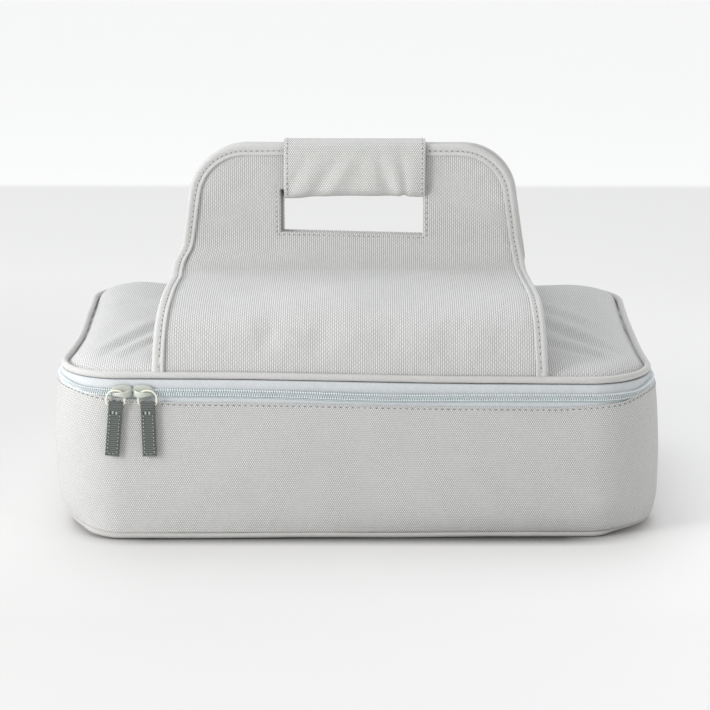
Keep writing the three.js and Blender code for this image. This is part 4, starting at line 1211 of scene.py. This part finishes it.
def make_wrap(end, flip):
    """Half of the padded wrap round the grips, drawn for the front: soft, with slanting wrinkles."""
    line = wrap_line()
    ahead = headings(line)
    out_y = ahead[:, 1]
    out_z = -ahead[:, 0]
    run = lengths(line)
    ends = WRAP_HALF - np.array([0.0, 0.15, 0.6, 1.3])
    seam_x = WRAP_HALF - WRAP_SEAM
    x = np.concatenate([-ends, np.linspace(-seam_x, seam_x, 62), ends[::-1]])[:, None]
    z = line[None, :, 1]
    face = unit((254 - z) / 14) * unit((z - 212.4) / 6)
    folds = 0.0
    for place, lean, width, height in WRAP_FOLDS:
        folds = folds + height * bell((x - lean * (z - 230) - place) / width)
    folds = folds * (0.2 + 0.8 * unit((248 - z) / 22)) * face
    soft = 0.25 * ripple(x, run[None], 27.0, 23.0) * face
    from_end = WRAP_HALF - np.abs(x)
    hems = -0.5 * bell(from_end / 0.6) - 0.35 * bell((from_end - WRAP_SEAM) / 0.7)
    lift = folds + soft + hems * face + 0.9 * face * np.sin(math.pi * unit((z - 213) / 41))
    sag = -1.9 * bell((x + 50) / 20) - 0.8 * bell((x - 50) / 14)
    sag = sag * unit((226 - z) / 12)
    pinch = 1.3 * unit((224 - z) / 9) * bell((x - 35.5) / 1.8)
    y = line[:, 0] + out_y * lift
    z = z + out_z * lift + sag + pinch
    outer = xyz(x + GRIP_SHIFT, y, z)
    inner = xyz(x + GRIP_SHIFT, np.minimum(y - out_y * 1.1, PARTING), z - out_z * 1.1)
    shell = Shell()
    slab(shell, turned(outer, flip), turned(inner, flip), x, run[None])
    wrap = shell.build(f"{end}_wrap", "wrap")
    settle(wrap, f"{end}_grip", "grey_fabric", f"{end}_wrap_cover", f"{end}_wrap_pad")
    shell = Shell()
    for column in (len(ends), -len(ends) - 1):

        def at(t, column=column):
            t = np.clip(t + 6, 0, run[-1])
            place = xyz(*[np.interp(t, run, outer[column, :, j]) for j in range(3)])
            normal = normed(xyz(0.0, np.interp(t, run, out_y), np.interp(t, run, out_z)))
            return turned(place + normal * 0.05, flip), turned(normal, flip)

        sew(shell, at, run[-1] - 12, pitch=3.6)
    settle(shell.build(f"{end}_wrap_stitches", "thread", "hole"), f"{end}_grip", "grey_fabric")


def make_closure(end, flip):
    """The strip of hook and loop on the face of a grip that looks at the other handle."""
    half = 45
    low = 221
    top = 240
    x = np.linspace(-half, half, 61)[:, None]
    z = np.linspace(low, top, 15)[None]
    edge = np.minimum(half - np.abs(x), np.minimum(z - low, top - z))
    nap = 0.08 * np.sin(x * 2.1) * np.sin(z * 2.1)
    outer = xyz(x + GRIP_SHIFT, -0.42 - 0.25 * np.exp(-edge / 0.5) + nap, z)
    inner = xyz(x + GRIP_SHIFT, -1.4, z)
    shell = Shell()
    slab(shell, turned(outer, flip), turned(inner, flip), x, z)
    settle(shell.build(f"{end}_closure", "nap"), f"{end}_grip", "hook_and_loop", f"{end}_closure_strip")


# Zip sliders, rings and pulls
def rounded_plate(shell, outline, y0, y1, bevel):
    """A plate with rounded rims, from an outline in x and z."""
    middle = outline.mean(axis=0)
    arms = outline - middle
    reach = np.linalg.norm(arms, axis=1)[:, None]
    rim = ((6, 0.0), (1.0, 0.0), (0.5, 0.12), (0.15, 0.45), (0.0, 1.0))
    rings = [(step * bevel, y0 + drop * bevel) for step, drop in rim]
    rings += [(step * bevel, y1 - drop * bevel) for step, drop in rim[::-1]]
    points = []
    for step, y in rings:
        x, z = (middle + arms * np.maximum(1 - step / reach, 0.05)).T
        points.append(xyz(x, y, z))
    shell.loops(np.array(points), 0, 2)


def slider_outline(half_length, half_height, waist):
    """A slider's wing: rounded at the nose, notched at the tail where the two tapes join."""
    angle = np.linspace(0, 2 * math.pi, 72, endpoint=False)
    x = half_length * signed_power(np.cos(angle), 0.55)
    z = half_height * signed_power(np.sin(angle), 0.55)
    z = z * (1 - waist * unit((-x - half_length * 0.1) / half_length))
    return np.stack([x, z], axis=1)


def make_slider(side, x0, nose):
    """Two wings joined by a wedge, and a broad bridge that swoops from the nose over the front wing."""
    shell = Shell()
    wing_face = -HALF_DEPTH - 0.9
    rounded_plate(shell, slider_outline(6.8, 4.4, 0.3), wing_face, wing_face + 1.3, 0.6)
    rounded_plate(shell, slider_outline(6.4, 3.6, 0.28), wing_face + 4.75, wing_face + 5.95, 0.5)
    rounded_plate(shell, slider_outline(1.9, 0.32, 0.0) + (4.0, 0.0), wing_face + 0.6, wing_face + 5.3, 0.2)
    sides = 20
    t = np.linspace(0, 1, 36)[:, None]
    outer = wing_face - 0.5 - 3.2 * np.sin(math.pi * t) ** 0.6
    inner = wing_face + 0.3 - 2.1 * unit(1 - ((t - 0.5) / 0.22) ** 4)
    middle = -1.7 + 0.9 * unit(1 - 3 * t) ** 2
    tall = 1.8 + 0.5 * np.cos(math.pi * t)
    angle = np.arange(sides) * 2 * math.pi / sides
    y = (outer + inner) / 2 + (inner - outer) / 2 * signed_power(np.cos(angle), 0.6)
    z = middle + tall * signed_power(np.sin(angle), 0.6)
    along = np.linspace(0, 16, len(t))[:, None]
    shell.grid(xyz(6.3 - 12.2 * t, y, z), along, np.linspace(0, 8, sides + 1)[None])
    for points in shell.points:
        points[:, 0] = points[:, 0] * nose + x0
        points[:, 2] += SLIDER_LINE
    settle(shell.build(f"{side}_zip_slider", "enamel"), f"{side}_slider_body", "enamel", f"{side}_slider")


def make_ring(side, x0, nose):
    """The wire ring: a bar below with two tight bends, and a wide arch above."""
    centre = x0 - nose * RING_REACH[side]
    top = EYE + 2.1
    path = []
    for cx, cz, r, start in ((4.6, RING_FOOT + 1.5, 1.5, -90), (0.7, top - 5.4, 5.4, 0),
                             (-0.7, top - 5.4, 5.4, 90), (-4.6, RING_FOOT + 1.5, 1.5, 180)):
        for a in np.linspace(start, start + 90, 10):
            angle = math.radians(a)
            path.append((centre + cx + r * math.cos(angle), RING_Y, cz + r * math.sin(angle)))
    shell = Shell()
    tube(shell, path, 0.66, (0, 1, 0), 12, True)
    settle(shell.build(f"{side}_ring", "wire"), f"{side}_ring_body", "ring_wire", f"{side}_pull_ring")


def make_pull(side, x0, nose):
    """A ribbon folded round the ring's foot, its two ends sewn flat together."""
    centre = np.array([x0 - nose * RING_REACH[side], RING_Y, RING_FOOT])
    loop = 2.0
    ribbon = 0.9
    length = 36.0
    half = 4.7
    seam_x = 3.2
    seam_top = -6.6
    seam_low = -34.2
    curl = PULL_CURL[side]
    tilt = math.radians(PULL_TILT[side])

    def placed(x, y, z):
        """Points of the ribbon, hung from the ring at its tilt."""
        cos = math.cos(tilt)
        sin = math.sin(tilt)
        return xyz(x * cos - z * sin, y, x * sin + z * cos) + centre

    def bow(z):
        return curl * np.sin(math.pi * unit(-z / length))

    drop = np.arange(-length, -3.2, 0.25)
    line = [(-ribbon - 0.02, z) for z in drop]
    for a in np.linspace(-math.radians(55), math.radians(235), 36):
        line.append((-loop * math.cos(a), loop * math.sin(a)))
    line = np.array(line + [(ribbon + 0.02, z) for z in drop[::-1]])
    run = lengths(line)[:, None]
    ahead = headings(line)
    out = np.stack([-ahead[:, 1], ahead[:, 0]], axis=1)
    x = np.array([1.1, 2.2, 3.2, 3.9, 4.4, 4.62, half])
    x = np.concatenate([-x[::-1], [0], x])[None]
    edge = -0.16 * np.exp(-((half - np.abs(x)) / 0.2)) - 0.1 * bell((np.abs(x) - 3.4) / 0.35)
    lift = 0.16 * np.sin(2 * math.pi * run / 1.4) + edge
    sheets = []
    for rise in (lift, 0 * lift - (ribbon - 0.05)):
        y = line[:, :1] + out[:, :1] * rise + bow(line[:, 1:])
        sheets.append(placed(x, y, line[:, 1:] + out[:, 1:] * rise))
    shell = Shell()
    slab(shell, *sheets, x, run)
    body = f"{side}_pull_body"
    settle(shell.build(f"{side}_ribbon", "ribbon"), body, "ribbon", f"{side}_pull")
    rows = [((way * seam_x, seam_top), (way * seam_x, seam_low), 0.26) for way in (-1, 1)]
    rows.append(((-seam_x, seam_low), (seam_x, seam_low), 0.26))
    rows += [((-2.7, -5.0 - 0.6 * k), (2.7, -5.3 - 0.6 * k), 0.4) for k in range(3)]
    shell = Shell()
    for face in (-1, 1):
        for a, b, thread in rows:
            a = np.array(a)
            b = np.array(b)
            size = float(np.hypot(*(b - a)))

            def at(t, a=a, b=b, size=size, face=face):
                x, z = (a + (b - a) * (t / size)[:, None]).T
                return placed(x, face * (ribbon + 0.1) + bow(z), z), xyz(0.0, float(face), 0.0 * t)

            sew(shell, at, size, pitch=2.5, thread=thread)
    settle(shell.build(f"{side}_ribbon_stitches", "ribbon_thread", "ribbon_hole_painted_shade"), body, "ribbon")


make_wall()
make_piping("base_cord", "base_piping", "tub", route["tuck"] + route["under"] + 0.7, BASE_PIPING_HEIGHT,
            BASE_PIPING_RADIUS, "base_piping", 24.0, base_rise(route["lift"], BASE_PIPING_HEIGHT))
make_base()
make_lining()
make_rim_tapes()
make_zip_tapes()
make_coils()
make_hinge()
make_zip_ends()
make_lid()
make_piping("lid_cord", "piping", "lid", PIPING_INSET + route["pull"], PIPING_HEIGHT, PIPING_RADIUS,
            "lid_piping", 27.0, rear_lift(route["x"], route["y"]))
for handle, mirror in (("front", 1.0), ("rear", -1.0)):
    make_panel(handle, mirror)
    make_edges(handle, mirror)
    make_wrap(handle, mirror)
    make_closure(handle, mirror)
for hand, (slider_x, slider_nose) in SLIDERS.items():
    make_slider(hand, slider_x, slider_nose)
    make_ring(hand, slider_x, slider_nose)
    make_pull(hand, slider_x, slider_nose)


# Stage, light and camera
def make_stage():
    """A pale floor with painted light and shade: darker at the left in front and lighter at the right, where
    the box's shadow falls, a little darker towards the camera, and a painted contact shadow from ambient
    occlusion under the wall's middle.
    """
    look = Look("floor_painted_light_and_shade")
    x, y = look.put("ShaderNodeSeparateXYZ", {0: look.put("ShaderNodeTexCoord", {})["Object"]})[:2]
    plain = linear(232, 231, 230)
    # Painted shade at the left, where the lamps are, and painted light at the right, in the box's shadow;
    # both fade to plain further off.
    across = look.ramp(x, linear(197, 196, 195), linear(250, 249, 248), -0.5, 0.4)
    across = look.ramp(x, plain, across, -0.9, -0.5)
    across = look.ramp(y, plain, across, -0.9, -0.6)
    # Painted shade: darker towards the camera, in front of the box.
    across = look.tint(across, y, 0.91, 1.0, (-0.3, -0.16))
    depth = look.ramp(y, across, plain, -0.05, 0.75)
    # Painted contact shadow: ambient occlusion darkens the floor close to the box, only under the wall's
    # middle.
    near = look.put("ShaderNodeAmbientOcclusion", {"Distance": 0.025}, samples=8)["AO"]
    shade = look.tint(depth, near, 0.16, 1.0, (0.5, 0.86))
    shade = look.ramp(x, depth, shade, -0.2, -0.14)
    shade = look.ramp(x, shade, depth, 0.14, 0.2)
    far = look.ramp(y, shade, linear(252, 251, 250), 1.37, 1.41)
    look.finish(far, look.bump(look.noise(60.0), 0.02, 0.2), Roughness=0.6, Specular_IOR_Level=0.2)
    reach = 9
    mesh = bpy.data.meshes.new("floor")
    corners = [(-reach, -reach, 0), (reach, -reach, 0), (reach, reach, 0), (-reach, reach, 0)]
    mesh.from_pydata(corners, [], [(0, 1, 2, 3)])
    mesh.materials.append(look.material)
    linked("floor", mesh)


def make_world():
    """Even light all round, and a plain backdrop for what the camera, gloss and glass see."""
    world = bpy.data.worlds.new("studio")
    bpy.context.scene.world = world
    world.use_nodes = True
    nodes = Nodes(world.node_tree)
    ambient = nodes.tree.nodes["Background"]
    ambient.inputs["Color"].default_value = (1.0, 1.0, 1.0, 1.0)
    ambient.inputs["Strength"].default_value = 0.58
    seen = nodes.put("ShaderNodeBackground", {"Color": linear(249, 249, 249)})
    ray = nodes.put("ShaderNodeLightPath", {})
    either = nodes.math("MAXIMUM", ray["Is Camera Ray"], ray["Is Glossy Ray"])
    either = nodes.math("MAXIMUM", either, ray["Is Transmission Ray"])
    mixed = nodes.put("ShaderNodeMixShader", {0: either, 1: ambient.outputs[0], 2: seen[0]})
    nodes.feed(nodes.tree.nodes["World Output"].inputs["Surface"], mixed[0])


def compass(side, height):
    """A direction at an angle from straight ahead towards the right, and at an angle up."""
    return Vector((math.sin(side) * math.cos(height), math.cos(side) * math.cos(height), math.sin(height)))


def make_sun(name, side_deg, height_deg, spread_deg, strength, colour):
    """A broad soft light, turned from the front towards the left by side_deg."""
    data = bpy.data.lights.new(name, "SUN")
    data.energy = strength
    data.color = colour
    data.angle = math.radians(spread_deg)
    towards = -compass(math.radians(side_deg), -math.radians(height_deg))
    linked(name, data).rotation_euler = towards.to_track_quat("Z", "Y").to_euler()


def make_window(name, place, target, size, strength):
    """A near soft light that isn't seen itself."""
    data = bpy.data.lights.new(name, "AREA")
    data.energy = strength
    data.size = size
    lamp = linked(name, data)
    lamp.location = place
    lamp.visible_camera = False
    lamp.rotation_euler = (Vector(place) - Vector(target)).to_track_quat("Z", "Y").to_euler()


def make_camera():
    focal_px = 2037.8
    picture_px = 710.0
    sensor_mm = 36.0
    yaw = -0.0077
    pitch = 0.2398
    data = bpy.data.cameras.new("camera")
    data.sensor_fit = "HORIZONTAL"
    data.sensor_width = sensor_mm
    data.lens = sensor_mm * focal_px / picture_px
    data.clip_end = 50.0
    camera = linked("camera", data)
    camera.location = (0.0095, -1.4622, 0.4518)
    camera.rotation_euler = compass(yaw, -pitch).to_track_quat("-Z", "Y").to_euler()
    bpy.context.scene.camera = camera


make_stage()
make_world()
make_sun("sky", 162.0, 66.0, 56.0, 1.21, (0.965, 1.0, 1.03))
make_window("window", (-1.7, -0.8, 0.6), (0.0, -0.05, 0.08), 1.1, 18.0)
make_window("near_window", (-0.75, -0.6, 0.4), (-0.1, -0.1, 0.08), 0.3, 2.9)
make_window("fill", (1.6, -0.9, 0.5), (0.0, -0.05, 0.08), 1.2, 4.0)
make_camera()
bpy.context.scene.view_settings.view_transform = "Standard"
